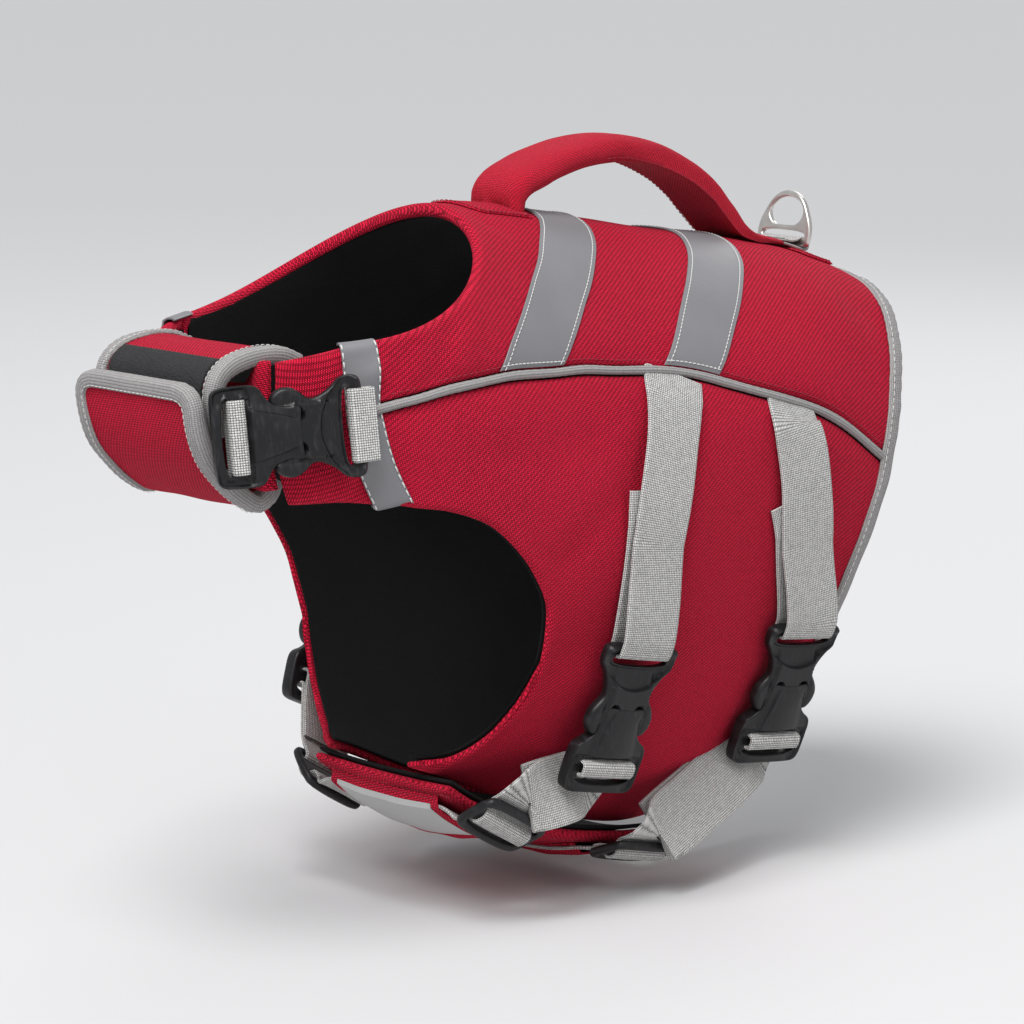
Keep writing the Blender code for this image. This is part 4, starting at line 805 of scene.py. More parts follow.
def stitches(name, rows, finish, length=2.1, gap=0.9, radius=0.26, lift=0.12):
    """Stitches along rows of (points, outward normals), joined in one piece."""
    points, faces, uv = [], [], []
    shares = np.array([0, 0.12, 0.5, 0.88, 1])
    rise, girth = np.array([-0.25, 0.7, 1.0, 0.7, -0.25]), np.array([0.6, 1, 1, 1, 0.6])[:, None]
    angles = np.arange(STITCH_SIDES) * 2 * math.pi / STITCH_SIDES
    template = grid_faces(len(shares), STITCH_SIDES + 1)
    wrap = np.arange(len(shares) * STITCH_SIDES).reshape(len(shares), STITCH_SIDES)
    wrap = np.concatenate([wrap, wrap[:, :1]], axis=1).ravel()
    flat = np.stack(np.meshgrid(np.linspace(0, 1.6, STITCH_SIDES + 1), shares * length), -1).reshape(-1, 2)
    for line, normals in rows:
        along = run(line)
        for start in np.arange(gap / 2, along[-1] - length, length + gap):
            wanted = start + shares * length
            at, up = sampled(line, wanted, along), unit(sampled(normals, wanted, along))
            across = unit(np.cross(at[-1] - at[0], up[2]))
            ring = across * np.cos(angles)[:, None, None] + up * np.sin(angles)[:, None, None] * 0.8
            shape = at + up * (rise * radius + lift)[:, None] + ring * radius * girth
            faces.append(wrap[template] + len(points) * len(shares) * STITCH_SIDES)
            points.append(shape.transpose(1, 0, 2).reshape(-1, 3))
            uv.append(flat[template])
    add_piece(name, np.concatenate(points), np.concatenate(faces).tolist(), finish, 80, np.concatenate(uv))


def skin(u, deg, out=0.0):
    """A point this high above the padded cloth itself."""
    return body(u, deg, swell(u, deg) + out)


def seam_over(row, out):
    """A row for stitches over the padded cloth: this high above it, along these places."""
    u, deg = np.moveaxis(np.asarray(row), -1, 0)
    return skin(u, deg, out), form_normal(u, deg)


BESIDE_PIPING = 1.9
beside_piping = shifted(places(PIPING, 150), -SEAM_CLEAR - BESIDE_PIPING)[3:-4]
rows = [seam_over(beside_piping * (1, side), -0.1) for side in SIDES.values()]
stitches("stitching_beside_piping", rows, RED_THREAD, length=1.9, gap=0.8, radius=0.2)


# ---- reflective tapes over the back ----------------------------------------------------------
# Two grey glass-bead tapes laid over the ridge from piping to piping, sewn down along both edges
# and across each end.

BEAD_GRAIN = 2600.0


def bead_material(name, base, shadow, roughness, speck):
    """Cloth-backed glass-bead tape: fine grain that glints, soft creases in the coating, grime."""
    made, tree, shader = new_material(name)
    place = put(tree, "ShaderNodeTexCoord").outputs["Object"]
    grain = noise(tree, place, Scale=BEAD_GRAIN, Detail=1.0)
    creases = noise(tree, place, Scale=95.0, Detail=5.0, Roughness=0.6, Distortion=1.4)
    grime = noise(tree, place, Scale=28.0, Detail=3.0)
    worn = sums(tree, "MULTIPLY", grime, 0.9 - speck)
    tone = sums(tree, "MULTIPLY_ADD", grain, speck, worn, clamp=True)
    fine = bump(tree, grain, 0.05, 0.5)
    wire(tree, shader, blend(tree, tone, shadow, base), sums(tree, "MULTIPLY_ADD", grime, 0.25, roughness),
         bump(tree, creases, 0.5, 0.35, fine))
    shader["Metallic"].default_value = 0.1
    return made


REFLECTIVE = bead_material("reflective_bead_tape", (0.235, 0.232, 0.245), (0.15, 0.15, 0.16), 0.42, 0.3)
Crossing = namedtuple("Crossing", "deg front rear")
BACK_TAPES = {
    "front": [Crossing(*row) for row in (
        (0, 0.260, 0.359), (12, 0.252, 0.357), (18, 0.240, 0.355), (27, 0.219, 0.346), (36, 0.204, 0.333),
        (46, 0.184, 0.321), (56, 0.174, 0.308), (66, 0.174, 0.301), (74, 0.190, 0.299),
    )],
    "rear": [Crossing(*row) for row in (
        (0, 0.577, 0.670), (8, 0.571, 0.667), (16, 0.557, 0.661), (24, 0.542, 0.653), (32, 0.525, 0.639),
        (40, 0.509, 0.626), (48, 0.498, 0.613), (57, 0.491, 0.603),
    )],
}


def laid_sheet(name, node, u, deg, low, high, finish, slot, edge=0.35):
    """A thin sheet on the padded back, its edges rounded down to it."""
    base, normal = skin(u, deg), form_normal(u, deg)
    middle, half = (low + high) / 2, (high - low) / 2 * rim_roll(base, edge)
    cloth_sheet(name, node, base + normal * (middle + half), base + normal * (middle - half), flat_map(base),
                finish, slot, "laid", ["sewn_back_panel"])


def close_ends(count, near=(0, 0.06, 0.2, 0.5)):
    """Fractions from 0 to 1 with a few close to both ends, in steps of one even part."""
    near = np.array(near) / count
    return np.concatenate([near, np.linspace(near[-1], 1 - near[-1], count)[1:-1], 1 - near[::-1]])


thread_rows = []
seam = shifted(places(PIPING, 160), -SEAM_CLEAR - 0.4)
for name, crossings in BACK_TAPES.items():
    front, rear = (places([(row[1 + i], row.deg) for row in crossings], 60) for i in (0, 1))
    across = close_ends(7)[None, :, None]
    half = front[:, None] * (1 - across) + rear[:, None] * across
    end = np.interp(half[-1, :, 0], seam[:, 0], seam[:, 1])
    half[..., 1] *= end / half[-1, :, 1]
    grid = np.concatenate([half[:0:-1] * (1, -1), half])
    laid_sheet("sewn_tape_" + name, "back_tape_" + name, *np.moveaxis(grid, -1, 0), 0.1, 0.75, REFLECTIVE,
               "reflective_tape")
    sides = [grid[:, 0] * (1 - share) + grid[:, -1] * share for share in (0.075, 0.925)]
    thread_rows += [seam_over(row, 0.75) for row in (*sides, grid[1], grid[-2])]
stitches("stitching_on_tapes", thread_rows, GREY_THREAD, 1.5, 0.45, 0.2, 0.02)


# ---- neck bands ------------------------------------------------------------------------------
# A narrower reflective band over each seam between an arm and the panels behind it. Its ends are
# turned over the panels' edges, and long white stitches run down both its sides.

BAND_WIDTH = 13.0
TURNS = np.radians([25, 60, 95, 125])


def turned_end(edge, normal, inward, thick, out):
    """Rows of points that carry a laid sheet on round a rolled edge: out beyond the edge's skin."""
    centre, high, wide = edge - normal * thick / 2 + inward * 2.0, normal * (thick / 2 + out), inward * (2.0 + out)
    return [centre + (high * math.cos(turn) - wide * math.sin(turn)) for turn in TURNS]


for ending, side in SIDES.items():
    t = np.linspace(0, 1, 34)[:, None]
    start, end = np.full(13, 0.011), np.linspace(0.247, 0.2285, 13)
    u = start + (end - start) * t
    across = close_ends(7, (0, 0.08, 0.25, 0.5))[:13]
    deg = (BAND_DEG + (across - 0.5) * BAND_WIDTH / mm_per_degree(u, BAND_DEG)) * side
    base, normal = skin(u, deg), form_normal(u, deg)
    sheets = []
    for out in (0.85, 0.2):
        face = base + normal * out
        top_in, low_in = unit(base[1] - base[0]), unit(base[-2] - base[-1])
        top = turned_end(body(np.zeros(13), deg[0]), normal[0], top_in, WALL, out)
        low = turned_end(base[-1] - low_in * 2.0, normal[-1], low_in, SHELL, out)
        sheets.append(np.concatenate([np.array(top[::-1]), face, np.array(low)]))
    cloth_sheet("sewn_band_" + ending, "neck_band_" + ending, *sheets, flat_map(sheets[0], 10), REFLECTIVE,
                "reflective_tape", "folded", ["sewn_neck_arm_" + ending])
    rows = []
    for column in (2, -3):
        line, up = sheets[0][2:-2, column], normal[:, column]
        rows.append((line, np.concatenate([up[:1], up[:1], up, up[-1:], up[-1:]])))
    stitches("stitching_on_band_" + ending, rows, GREY_THREAD, 2.3, 0.9, 0.27, 0.05)


# ---- rear binding ----------------------------------------------------------------------------
# Ribbed grey tape folded round the whole rear edge, shell and lining together, and sewn through.

BINDING, BINDING_OUT, REAR_COVER = 1.1, 1.45, 6.0


def binding_section(thick, cover):
    """Across a folded binding: along the outer face, round the nose, back along the inner face and
    inside. x is in from the edge, y is above the sheet's outer face."""
    half = thick / 2 + CLEAR + BINDING
    turn = np.linspace(math.pi / 2, math.pi * 1.5, 9)
    nose_points = [(-0.2 + math.cos(a) * (BINDING + 0.4), -thick / 2 + math.sin(a) * half) for a in turn]
    top = [(cover, 0.15), (cover - 0.1, CLEAR + BINDING * 0.75), (cover - 0.7, CLEAR + BINDING)]
    top.append((cover * 0.55, CLEAR + BINDING * 1.05))
    under = [(x, -thick - y) for x, y in top[::-1]]
    inside = [(cover, -thick - 0.15), (0.6, -thick - 0.1), (0.1, -thick / 2), (0.6, 0.1)]
    return np.array(top + nose_points + under + inside[1:])


def on_binding(edge, inward, normals, mm):
    """A row for stitches on a binding's outer face, this far in from the edge line."""
    return edge + inward * mm + normals * BINDING_OUT, normals


def bound_edge(name, node, edge, inward, normals, thick, cover):
    """Folded tape along an edge line; it puckers a little between its stitches."""
    section = binding_section(thick, cover)
    pucker = 1 + 0.05 * np.sin(run(edge) * 2.1)[:, None] + 0.04 * np.sin(run(edge) / 3.7)[:, None]
    x, y = section[:, 0], (section[:, 1] + thick / 2) * pucker - thick / 2
    x = np.broadcast_to(x, y.shape)
    rings = edge[:, None] + inward[:, None] * x[..., None] + normals[:, None] * y[..., None]
    made = loft_piece(name, node, rings, GREY_BINDING, 60)


half_deg = np.concatenate([np.linspace(0, 89, 60), np.linspace(89, HEM[-1].deg, 50)[1:]])
deg = np.concatenate([-half_deg[:0:-1], half_deg])
u = rear_u(deg)
edge, normals = body(u, deg), form_normal(u, deg)
inward = unit(body(u - 0.03, deg) - edge)
inward = unit(inward - normals * np.sum(inward * normals, axis=1, keepdims=True))
bound_edge("sewn_rear_binding", "rear_binding", edge, inward, normals, WALL, REAR_COVER)
row = on_binding(edge, inward, normals, 4.7)
stitches("stitching_on_rear_binding", [row], GREY_THREAD, 2.0, 0.8, 0.2, 0.02)


# ---- throat pad ------------------------------------------------------------------------------
# A padded strip of the red cloth across the throat, inside the wrap. It starts level with the left
# arm's end, is pressed in behind the flaps, and is sewn to the right arm's end.


def pillow(name, node, face, normals, thick, lift, reach=1.5):
    """A padded piece of red cloth below its outer face, rolled over at its four edges."""
    depth = np.min(edge_depths(face), axis=0)
    roll = rolled(depth, reach)[..., None]
    lift = (lift * np.clip(depth / 3, 0, 1))[..., None]
    outer = face + normals * ((roll - 1) * thick / 2 + lift * roll)
    cushion(name, node, outer, face - normals * (thick - (1 - roll) * thick / 2), flat_map(face))


def ripples(face, scale, height):
    """Small uneven swellings of cloth at these points."""
    x, y, z = np.moveaxis(face / scale, -1, 0)
    slow = np.sin(x + 0.7 * z + 1) * np.sin(y - 0.4 * x)
    quick = np.sin(1.7 * x + z) * np.sin(2.1 * y + 0.8 * z + 2)
    return height * (slow + 0.6 * quick)


THROAT_SINK, THROAT_SINK_SIDE = 16.5, 5.0
left, middle, right = (141.2, 151, 12), (151, 209, 34), (209, 360 - ARM_END_DEG - 0.3, 12)
deg = np.concatenate([np.linspace(*left), np.linspace(*middle)[1:], np.linspace(*right)[1:]])
inside = eased_step(np.minimum(deg - 144.5, 215.5 - deg) / 6)
share = close_ends(18)[:, None]
start, end = 0.018 + 0.029 * inside, 0.185 - 0.0015 * inside
u, deg = start + (end - start) * share, deg + 0 * share
bulge = np.minimum(1, ((deg - 180) / 30) ** 2)
sunk = inside * (THROAT_SINK + (THROAT_SINK_SIDE - THROAT_SINK) * bulge)
face = body(u, deg, -sunk)
pillow("sewn_throat_pad", "throat_pad", face, form_normal(u, deg), SHELL, 0.3 + ripples(face, 7, 0.3))


# ---- collar wrap -----------------------------------------------------------------------------
# Two padded flaps that close over each other round the throat strap, each bound in ribbed grey
# tape. The upper one carries a strip of black loop pile, which the outer one's hooks press onto.

FLAP, WRAP_NEAR, WRAP_FAR, WRAP_CORNER, WRAP_COVER, WRAP_SEAM = 3.4, 31.6, -31.0, 8.0, 4.2, 3.4
Point = namedtuple("Point", "y z")
TOP_FLAP = [Point(*row) for row in (
    (-208, -21.4), (-216, -18.2), (-226, -17.4), (-237.5, -19.6), (-244.3, -24.4), (-246.4, -31.2),
    (-245.8, -38), (-244.6, -45),
)]
OUTER_FLAP = [Point(*row) for row in (
    (-217.5, -63), (-221, -68.4), (-227.5, -71.2), (-235, -67.2), (-242.4, -61), (-249.6, -52.6),
    (-254.0, -41), (-255.6, -28.0),
)]


def flap_line(rows, count):
    """Points down a flap's outer face in the plane X = 0, with its outward normals."""
    line = eased(rows, count)
    ahead = unit(np.gradient(line, axis=0))
    normals = np.stack([ahead[:, 1], -ahead[:, 0]], 1)
    if np.sum(normals * (line - line.mean(axis=0))) < 0:
        normals = -normals
    return np.insert(line, 0, 0, axis=1), np.insert(normals, 0, 0, axis=1)


def flap_sides(line, rounded):
    """X of the flap's two sides down its length, drawn in round the corners of its free end."""
    length = run(line)
    corner = np.clip((WRAP_CORNER - length[-1] + length) / WRAP_CORNER, 0, 1)
    drawn_in = WRAP_CORNER * (1 - np.sqrt(1 - corner**2)) * rounded
    return WRAP_NEAR - drawn_in, WRAP_FAR + drawn_in


def flap_face(line, near, far, columns=30):
    across = close_ends(columns)[None, :, None]
    return line[:, None] + (near[:, None, None] * (1 - across) + far[:, None, None] * across) * (1, 0, 0)


line, normals = flap_line(TOP_FLAP, 44)
near, far = flap_sides(line, False)
face = flap_face(line, near, far)
top_normals = np.broadcast_to(normals[:, None], face.shape)
pillow("sewn_top_flap", "wrap_top_flap", face, top_normals, FLAP, 0.1 + ripples(face, 9, 0.16), 1.2)
wrap_stitches = []
for name, x, inward in (("near", near, (-1.0, 0, 0)), ("far", far, (1.0, 0, 0))):
    edge = line + x[:, None] * (1, 0, 0)
    inward = np.tile(inward, (len(edge), 1))
    bound_edge("sewn_top_binding_" + name, "wrap_top_binding_" + name, edge, inward, normals, FLAP, WRAP_COVER)
    wrap_stitches.append(on_binding(edge, inward, normals, WRAP_SEAM))


def pile_material(name, dark, light):
    """Loop pile: small curled tufts, matt, with lint and grime caught in it."""
    made, tree, shader = new_material(name)
    place = put(tree, "ShaderNodeTexCoord").outputs["Object"]
    loops = put(tree, "ShaderNodeTexVoronoi", [(place, "Vector")], Scale=1500.0).outputs["Distance"]
    lint = noise(tree, place, Scale=160.0, Detail=6.0, Roughness=0.7)
    tone = sums(tree, "MULTIPLY", sums(tree, "ADD", loops, lint), 0.7, clamp=True)
    wire(tree, shader, blend(tree, tone, dark, light), sums(tree, "MULTIPLY_ADD", lint, 0.1, 0.85),
         bump(tree, tone, 0.6, 0.9))
    return made


LOOP_PILE = pile_material("black_loop_pile", (0.004, 0.004, 0.005), (0.022, 0.022, 0.024))
strip = slice(22, 44)
reach = WRAP_COVER + 1.2
face = flap_face(line[strip], near[strip] - reach, far[strip] + reach, 24)
strip_normals = np.broadcast_to(normals[strip][:, None], face.shape)
roll = rim_roll(face, 0.5)
lift = (0.9 + ripples(face, 3, 0.1))[..., None]
cloth_sheet("sewn_loop_strip", "loop_strip", face + strip_normals * (0.3 + lift * roll),
            face + strip_normals * 0.25 * (1 - roll), flat_map(face), LOOP_PILE, "black_lining", "laid",
            ["sewn_top_flap"])

line, normals = flap_line(OUTER_FLAP, 60)
near, far = flap_sides(line, True)
face = flap_face(line, near, far)
outer_normals = np.broadcast_to(normals[:, None], face.shape)
pillow("sewn_outer_flap", "wrap_outer_flap", face, outer_normals, FLAP, 0.25 + ripples(face, 8, 0.2), 1.2)
x = np.linspace(near[-1], far[-1], 40)[1:-1]
down_and_back = [np.concatenate([part, np.repeat(part[-1:], len(x), 0), part[::-1]]) for part in (line, normals)]
edge = down_and_back[0] + np.concatenate([near, x, far[::-1]])[:, None] * (1, 0, 0)
along = run(edge)
even = np.linspace(0, along[-1], 170)
edge, edge_normals = sampled(edge, even, along), sampled(down_and_back[1], even, along)
inward = unit(np.cross(unit(edge_normals), unit(np.gradient(edge, axis=0))))
inward *= -np.sign(inward[0, 0])
bound_edge("sewn_outer_binding", "wrap_outer_binding", edge, inward, edge_normals, FLAP, WRAP_COVER)
wrap_stitches.append(on_binding(edge, inward, edge_normals, WRAP_SEAM))
stitches("stitching_on_wrap", wrap_stitches, GREY_THREAD, 1.6, 0.7, 0.17, 0.02)


# ---- belly panel -----------------------------------------------------------------------------
# A padded panel of the red cloth under the chest, lined like the sides. Two sleeves of the same
# cloth are sewn across it for the belly straps, and the front one carries a silver stripe.

Station = namedtuple("Station", "y middle_z edge_z half_width")
BELLY = [Station(*row) for row in (
    (-146, -184.0, -183.4, 36.5), (-134, -195.6, -191.2, 37.5), (-118, -205.5, -199.0, 38),
    (-92, -215.5, -208.5, 38), (-64, -221.0, -214.5, 38), (-42, -223.5, -217.5, 37),
)]
FRONT_GLIDE = ((48, -130, -195.5), (0.60, -0.43, -0.68), (-0.03, -0.85, 0.51))
REAR_GLIDE = ((48, -63, -217.0), (0.36, -0.22, -0.90), (-0.06, -0.96, 0.24))
SLEEVE_LENGTH, SLEEVE_HALF_WIDTH = 30.0, 30.0


def belly_face(along, across):
    station = Station(*np.moveaxis(smooth(BELLY, along), -1, 0))
    z = station.middle_z + (station.edge_z - station.middle_z) * across**2
    return np.stack([station.half_width * across, station.y, z], -1)


def belly_normal(along, across):
    lengthwise = belly_face(np.minimum(along + 0.01, 1), across) - belly_face(np.maximum(along - 0.01, 0), across)
    return unit(np.cross(lengthwise, belly_face(along, across + 0.02) - belly_face(along, across - 0.02)))


def on_belly(along, across, out=0.0):
    """A point out from the panel's outer face: along from front 0 to rear 1, across from -1 to 1."""
    along, across = np.broadcast_arrays(np.asarray(along, float), np.asarray(across, float))
    return belly_face(along, across) + belly_normal(along, across) * np.asarray(out, float)[..., None]


def belly_along(y):
    """How far along the panel this y is, from 0 to 1."""
    at = np.linspace(0, 1, 400)
    return float(np.interp(y, smooth(BELLY, at)[:, 0], at))


along, across = np.meshgrid(close_ends(44), close_ends(34) * 2 - 1, indexing="ij")
face, facing = on_belly(along, across), belly_normal(along, across)
creases = 0.2 + ripples(face, 8, 0.35) - 0.8 * np.exp(-(((along - 0.05) / 0.03) ** 2)) * (across**2)
pillow("sewn_belly_panel", "belly_panel", face, facing, SHELL, creases, 2.2)
roll = rim_roll(face, 0.8)
under = -SHELL - LINING_GAP
cloth_sheet("sewn_belly_lining", "belly_panel_lining", face + facing * (under - (1 - roll) * LINING / 2),
            face + facing * (under - LINING - 0.4 * roll + (1 - roll) * LINING / 2), flat_map(face), LINING_CLOTH,
            "black_lining", "stretched", ["sewn_belly_panel"])
hem_rows = []
for edge in (face[:, 4], face[:, -5], face[4], face[-5]):
    hem_rows.append((edge, np.tile(facing[22, 17], (len(edge), 1))))
SILVER_STRIPE = bead_material("silver_stripe", (0.52, 0.52, 0.51), (0.36, 0.36, 0.36), 0.4, 0.25)
for name, glide in (("front", FRONT_GLIDE), ("rear", REAR_GLIDE)):
    ends = [belly_along(glide[0][1] + reach) for reach in (-SLEEVE_LENGTH / 2 + 1.5, SLEEVE_LENGTH / 2 + 1.5)]
    width = SLEEVE_HALF_WIDTH / BELLY[2].half_width
    share, side_share = np.meshgrid(close_ends(24), close_ends(24), indexing="ij")
    along, across = ends[0] + (ends[1] - ends[0]) * share, (side_share * 2 - 1) * width
    face, facing = on_belly(along, across), belly_normal(along, across)
    rise = eased_step(np.minimum(share, 1 - share) * SLEEVE_LENGTH / 3.2)
    top = (0.9 + 3.5 * rise + ripples(face, 5, 0.25) * rise)[..., None]
    roll = rim_roll(face, 0.5)
    upper, lower = top - 0.4 * (1 - roll), top - 0.8 + 0.4 * (1 - roll)
    cloth_sheet("sewn_sleeve_" + name, "belly_sleeve_" + name, face + facing * upper, face + facing * lower,
                flat_map(face), RED_CLOTH, "red_cloth", "laid", ["sewn_belly_panel"])
    hem_rows += [((face + facing * top)[row], facing[row]) for row in (3, -4)]
    if name == "front":
        inner = (slice(4, -8), slice(4, -4))
        face, facing, top = face[inner], facing[inner], top[inner] + 0.15
        roll = rim_roll(face, 0.3)
        cloth_sheet("sewn_belly_stripe", "belly_stripe", face + facing * (top + 0.35 * roll), face + facing * top,
                    flat_map(face), SILVER_STRIPE, "silver_tape", "laid", ["sewn_sleeve_front"])
stitches("stitching_on_belly", hem_rows, RED_THREAD, length=1.9, gap=0.8, radius=0.2)


# ---- carrying handle -------------------------------------------------------------------------
# Red cloth sewn into a tube round a foam roll, flattened at both feet. Its near end is sewn under
# a curved tab on the back, and the seam down its rear half stands out as a narrow flange.

Section = namedtuple("Section", "y z width thick")
HANDLE = [Section(*row) for row in (
    (-87.4, 22.6, 26.5, 7.6), (-85.0, 26.2, 27, 9.6), (-81.2, 28.8, 27, 10.8), (-75, 31.0, 27, 11.2),
    (-66, 34.2, 26.5, 11.0), (-50, 37.5, 25.5, 11.0), (-33, 38.2, 25, 10.8), (-14, 35.0, 25, 9.6),
    (2, 28.3, 25, 8.8), (14.5, 20.2, 25, 8.6), (23.5, 11.8, 25, 8.4), (30, 5.4, 25, 6.4),
    (37, 1.6, 25, 3.8), (44, -0.4, 25, 2.8), (52, -2.2, 25, 2.4),
)]
# The span from dark to light is painted shade across the finer weave.
HANDLE_CLOTH = cloth_material("carmine_oxford_fine", RED._replace(
    dark=(0.17, 0.0005, 0.006), light=(0.93, 0.020, 0.062), faded=(0.76, 0.032, 0.065), sheen=0.05,
    yarn=(0.5, 0.5), turn=0, slub=0.4, relief=0.6, fuzz=0.1, under=0.55,
))
rows = eased(HANDLE, 130)
middle = np.stack([np.zeros(len(rows)), rows[:, 0], rows[:, 1]], 1)
ahead = unit(np.gradient(middle, axis=0))
across = np.array([1.0, 0, 0])
up = np.cross(across, ahead)
FLANGE_FROM, FLANGE_TO = -38, 50
flatness = np.clip((rows[:, 0] - FLANGE_FROM) / 26, 0, 1) * np.clip((FLANGE_TO - rows[:, 0]) / 10, 0, 1)
flatness = flatness[:, None]
rings = []
for angle in np.radians(np.arange(0, 360, 9.0) + 4.5):
    c, s = math.cos(angle), math.sin(angle)
    wide = abs(c) ** 0.6 * math.copysign(1, c)
    high = abs(s) ** 0.75 * math.copysign(1, s)
    slope = abs(math.degrees(math.atan2(s, abs(c))))
    flange = 0.07 * math.exp(-(((slope - 28) / 9) ** 2)) * (s < 0)
    flat_wide, flat_high = wide * (1 + flange), high
    if s <= 0:
        flat_high = -min(1, abs(s) * 2.4) ** 0.8 * (0.86 + 0.1 * abs(c))
    wide, high = wide + (flat_wide - wide) * flatness, high + (flat_high - high) * flatness
    rings.append(middle + across * wide * rows[:, 2:3] / 2 + up * high * rows[:, 3:4] / 2)
rings = np.stack(rings, 1)


def on_cloth(x, y, out):
    """Points above the padded back at these X and Y, for places near its ridge."""
    u, deg = 0.2 + 0 * x, 0 * x
    for _ in range(10):
        here = skin(u, deg, out)
        by_u, by_deg = skin(u + 0.01, deg, out) - here, skin(u, deg + 1.0, out) - here
        slopes = np.stack([by_u[..., :2], by_deg[..., :2]], -1)
        step = np.linalg.solve(slopes, np.stack([x, y], -1)[..., None] - here[..., :2, None])[..., 0]
        u = np.clip(u + np.clip(step[..., 0] * 0.01, -0.1, 0.1), 0.01, 0.99)
        deg = deg + np.clip(step[..., 1], -15, 15)
    return skin(u, deg, out)


FRONT_TAB, FOOT_ROWS, TAIL_Y, TAB_HALF_DEG = 1.1, 26, 16, 14
length = run(middle)[:, None]
turn = np.linspace(0, 2 * math.pi, rings.shape[1], endpoint=False)[None]
dents = 0.22 * np.sin(length / 5.2 + 1.4 * np.sin(turn)) * np.sin(length / 17 + 2 * turn)
dents = dents - 0.5 * np.exp(-(((length - 118) / 5) ** 2)) * np.cos(turn - math.pi / 2)
rings += unit(rings - middle[:, None]) * (dents * np.clip(rows[:, 3:4] / 9, 0, 1))[..., None]
gathers = 0.45 * np.sin(rings[:, :, 0] * 1.35 + 0.8) * np.exp(-length / 5.5)
rings[:, :, 1] -= gathers * np.clip(np.sin(turn), 0, 1)
floor = on_cloth(rings[:FOOT_ROWS, :, 0], rings[:FOOT_ROWS, :, 1], FRONT_TAB)
rings[0] = floor[0]
rings[:FOOT_ROWS, :, 2] = np.maximum(rings[:FOOT_ROWS, :, 2], floor[..., 2])
tail = rows[:, 0] > TAIL_Y
tail_x, tail_y = rings[tail][..., 0], rings[tail][..., 1]
fallen = on_cloth(tail_x, tail_y, 0.0)[..., 2] - on_cloth(0 * tail_x, tail_y, 0.0)[..., 2]
rings[tail, :, 2] += fallen * np.clip((rows[tail, :1] - TAIL_Y) / 14, 0, 1)
loft_piece("sewn_handle", "handle", rings, HANDLE_CLOTH, 60)
seam_rows = []
for column, way in ((37, 1), (22, -1)):
    line = rings[40:112, column] * 1.0
    seam_rows.append((line + np.array([way * 0.1, 0, 0]), unit(line - middle[40:112])))

tab_deg = [close_ends(columns) * 2 * TAB_HALF_DEG - TAB_HALF_DEG for columns in (18, 14)]
tab_end = 0.236
u, deg = np.meshgrid(np.linspace(0.060, tab_end, 34), tab_deg[0], indexing="ij")  # drawn in at its corners
u = tab_end - (tab_end - u) * (1 - 0.25 * (np.abs(deg) / TAB_HALF_DEG) ** 4)
laid_sheet("sewn_handle_tab", "handle_front_tab", u, deg, -0.2, FRONT_TAB, RED_CLOTH, "red_cloth", 1.4)
places_on = np.stack([u, deg], -1)
tab_edge = np.concatenate([places_on[::-1, 2], places_on[1, 2:-2], places_on[:, -3]])
seam_rows.append(seam_over(tab_edge, 1.05))
u, deg = np.meshgrid(np.linspace(0.835, 0.93, 16), tab_deg[1], indexing="ij")
laid_sheet("sewn_ring_tab", "d_ring_tab", u, deg, -0.1, 1.2, RED_CLOTH, "red_cloth", 0.9)
places_on = np.stack([u, deg], -1)
for line in (places_on[1], places_on[3], places_on[-2], places_on[:, 2], places_on[:, -3]):
    seam_rows.append(seam_over(line, 1.2))
stitches("stitching_on_handle_and_tabs", seam_rows, RED_THREAD, 1.7, 0.7, 0.2, 0.05)


# ---- leash ring ------------------------------------------------------------------------------
# A ring plate stamped from bright steel, its edges tumbled round. It stands on its base bar in a
# folded loop of webbing, which is sewn under the red tab behind the handle.


def chaikin(points, times=2, closed=True):
    """The same line with its corners cut round."""
    points = np.asarray(points, float)
    for _ in range(times):
        following = np.roll(points, -1, axis=0) if closed else points[1:]
        here = points if closed else points[:-1]
        cuts = here * 0.75 + following * 0.25, here * 0.25 + following * 0.75
        pairs = np.stack(cuts, 1).reshape(-1, points.shape[1])
        points = pairs if closed else np.concatenate([points[:1], pairs, points[-1:]])
    return points


def even_outline(outline, spacing):
    looped = np.concatenate([outline, outline[:1]])
    along = run(looped)
    wanted = np.linspace(0, along[-1], max(8, round(along[-1] / spacing)), endpoint=False)
    return sampled(looped, wanted, along)


def to_outlines(points, outlines):
    """How far each point of a plate lies from its nearest edge, and whether it is on the plate."""
    nearest, inside = np.full(len(points), np.inf), np.zeros(len(points), bool)
    for outline in outlines:
        for start, end in zip(outline, np.roll(outline, -1, axis=0)):
            leg = end - start
            share = np.clip((points - start) @ leg / (leg @ leg), 0, 1)
            nearest = np.minimum(nearest, np.linalg.norm(points - start - share[:, None] * leg, axis=1))
            crosses = (start[1] > points[:, 1]) != (end[1] > points[:, 1])
            if leg[1]:
                inside ^= crosses & (points[:, 0] < start[0] + (points[:, 1] - start[1]) * leg[0] / leg[1])
    return nearest, inside


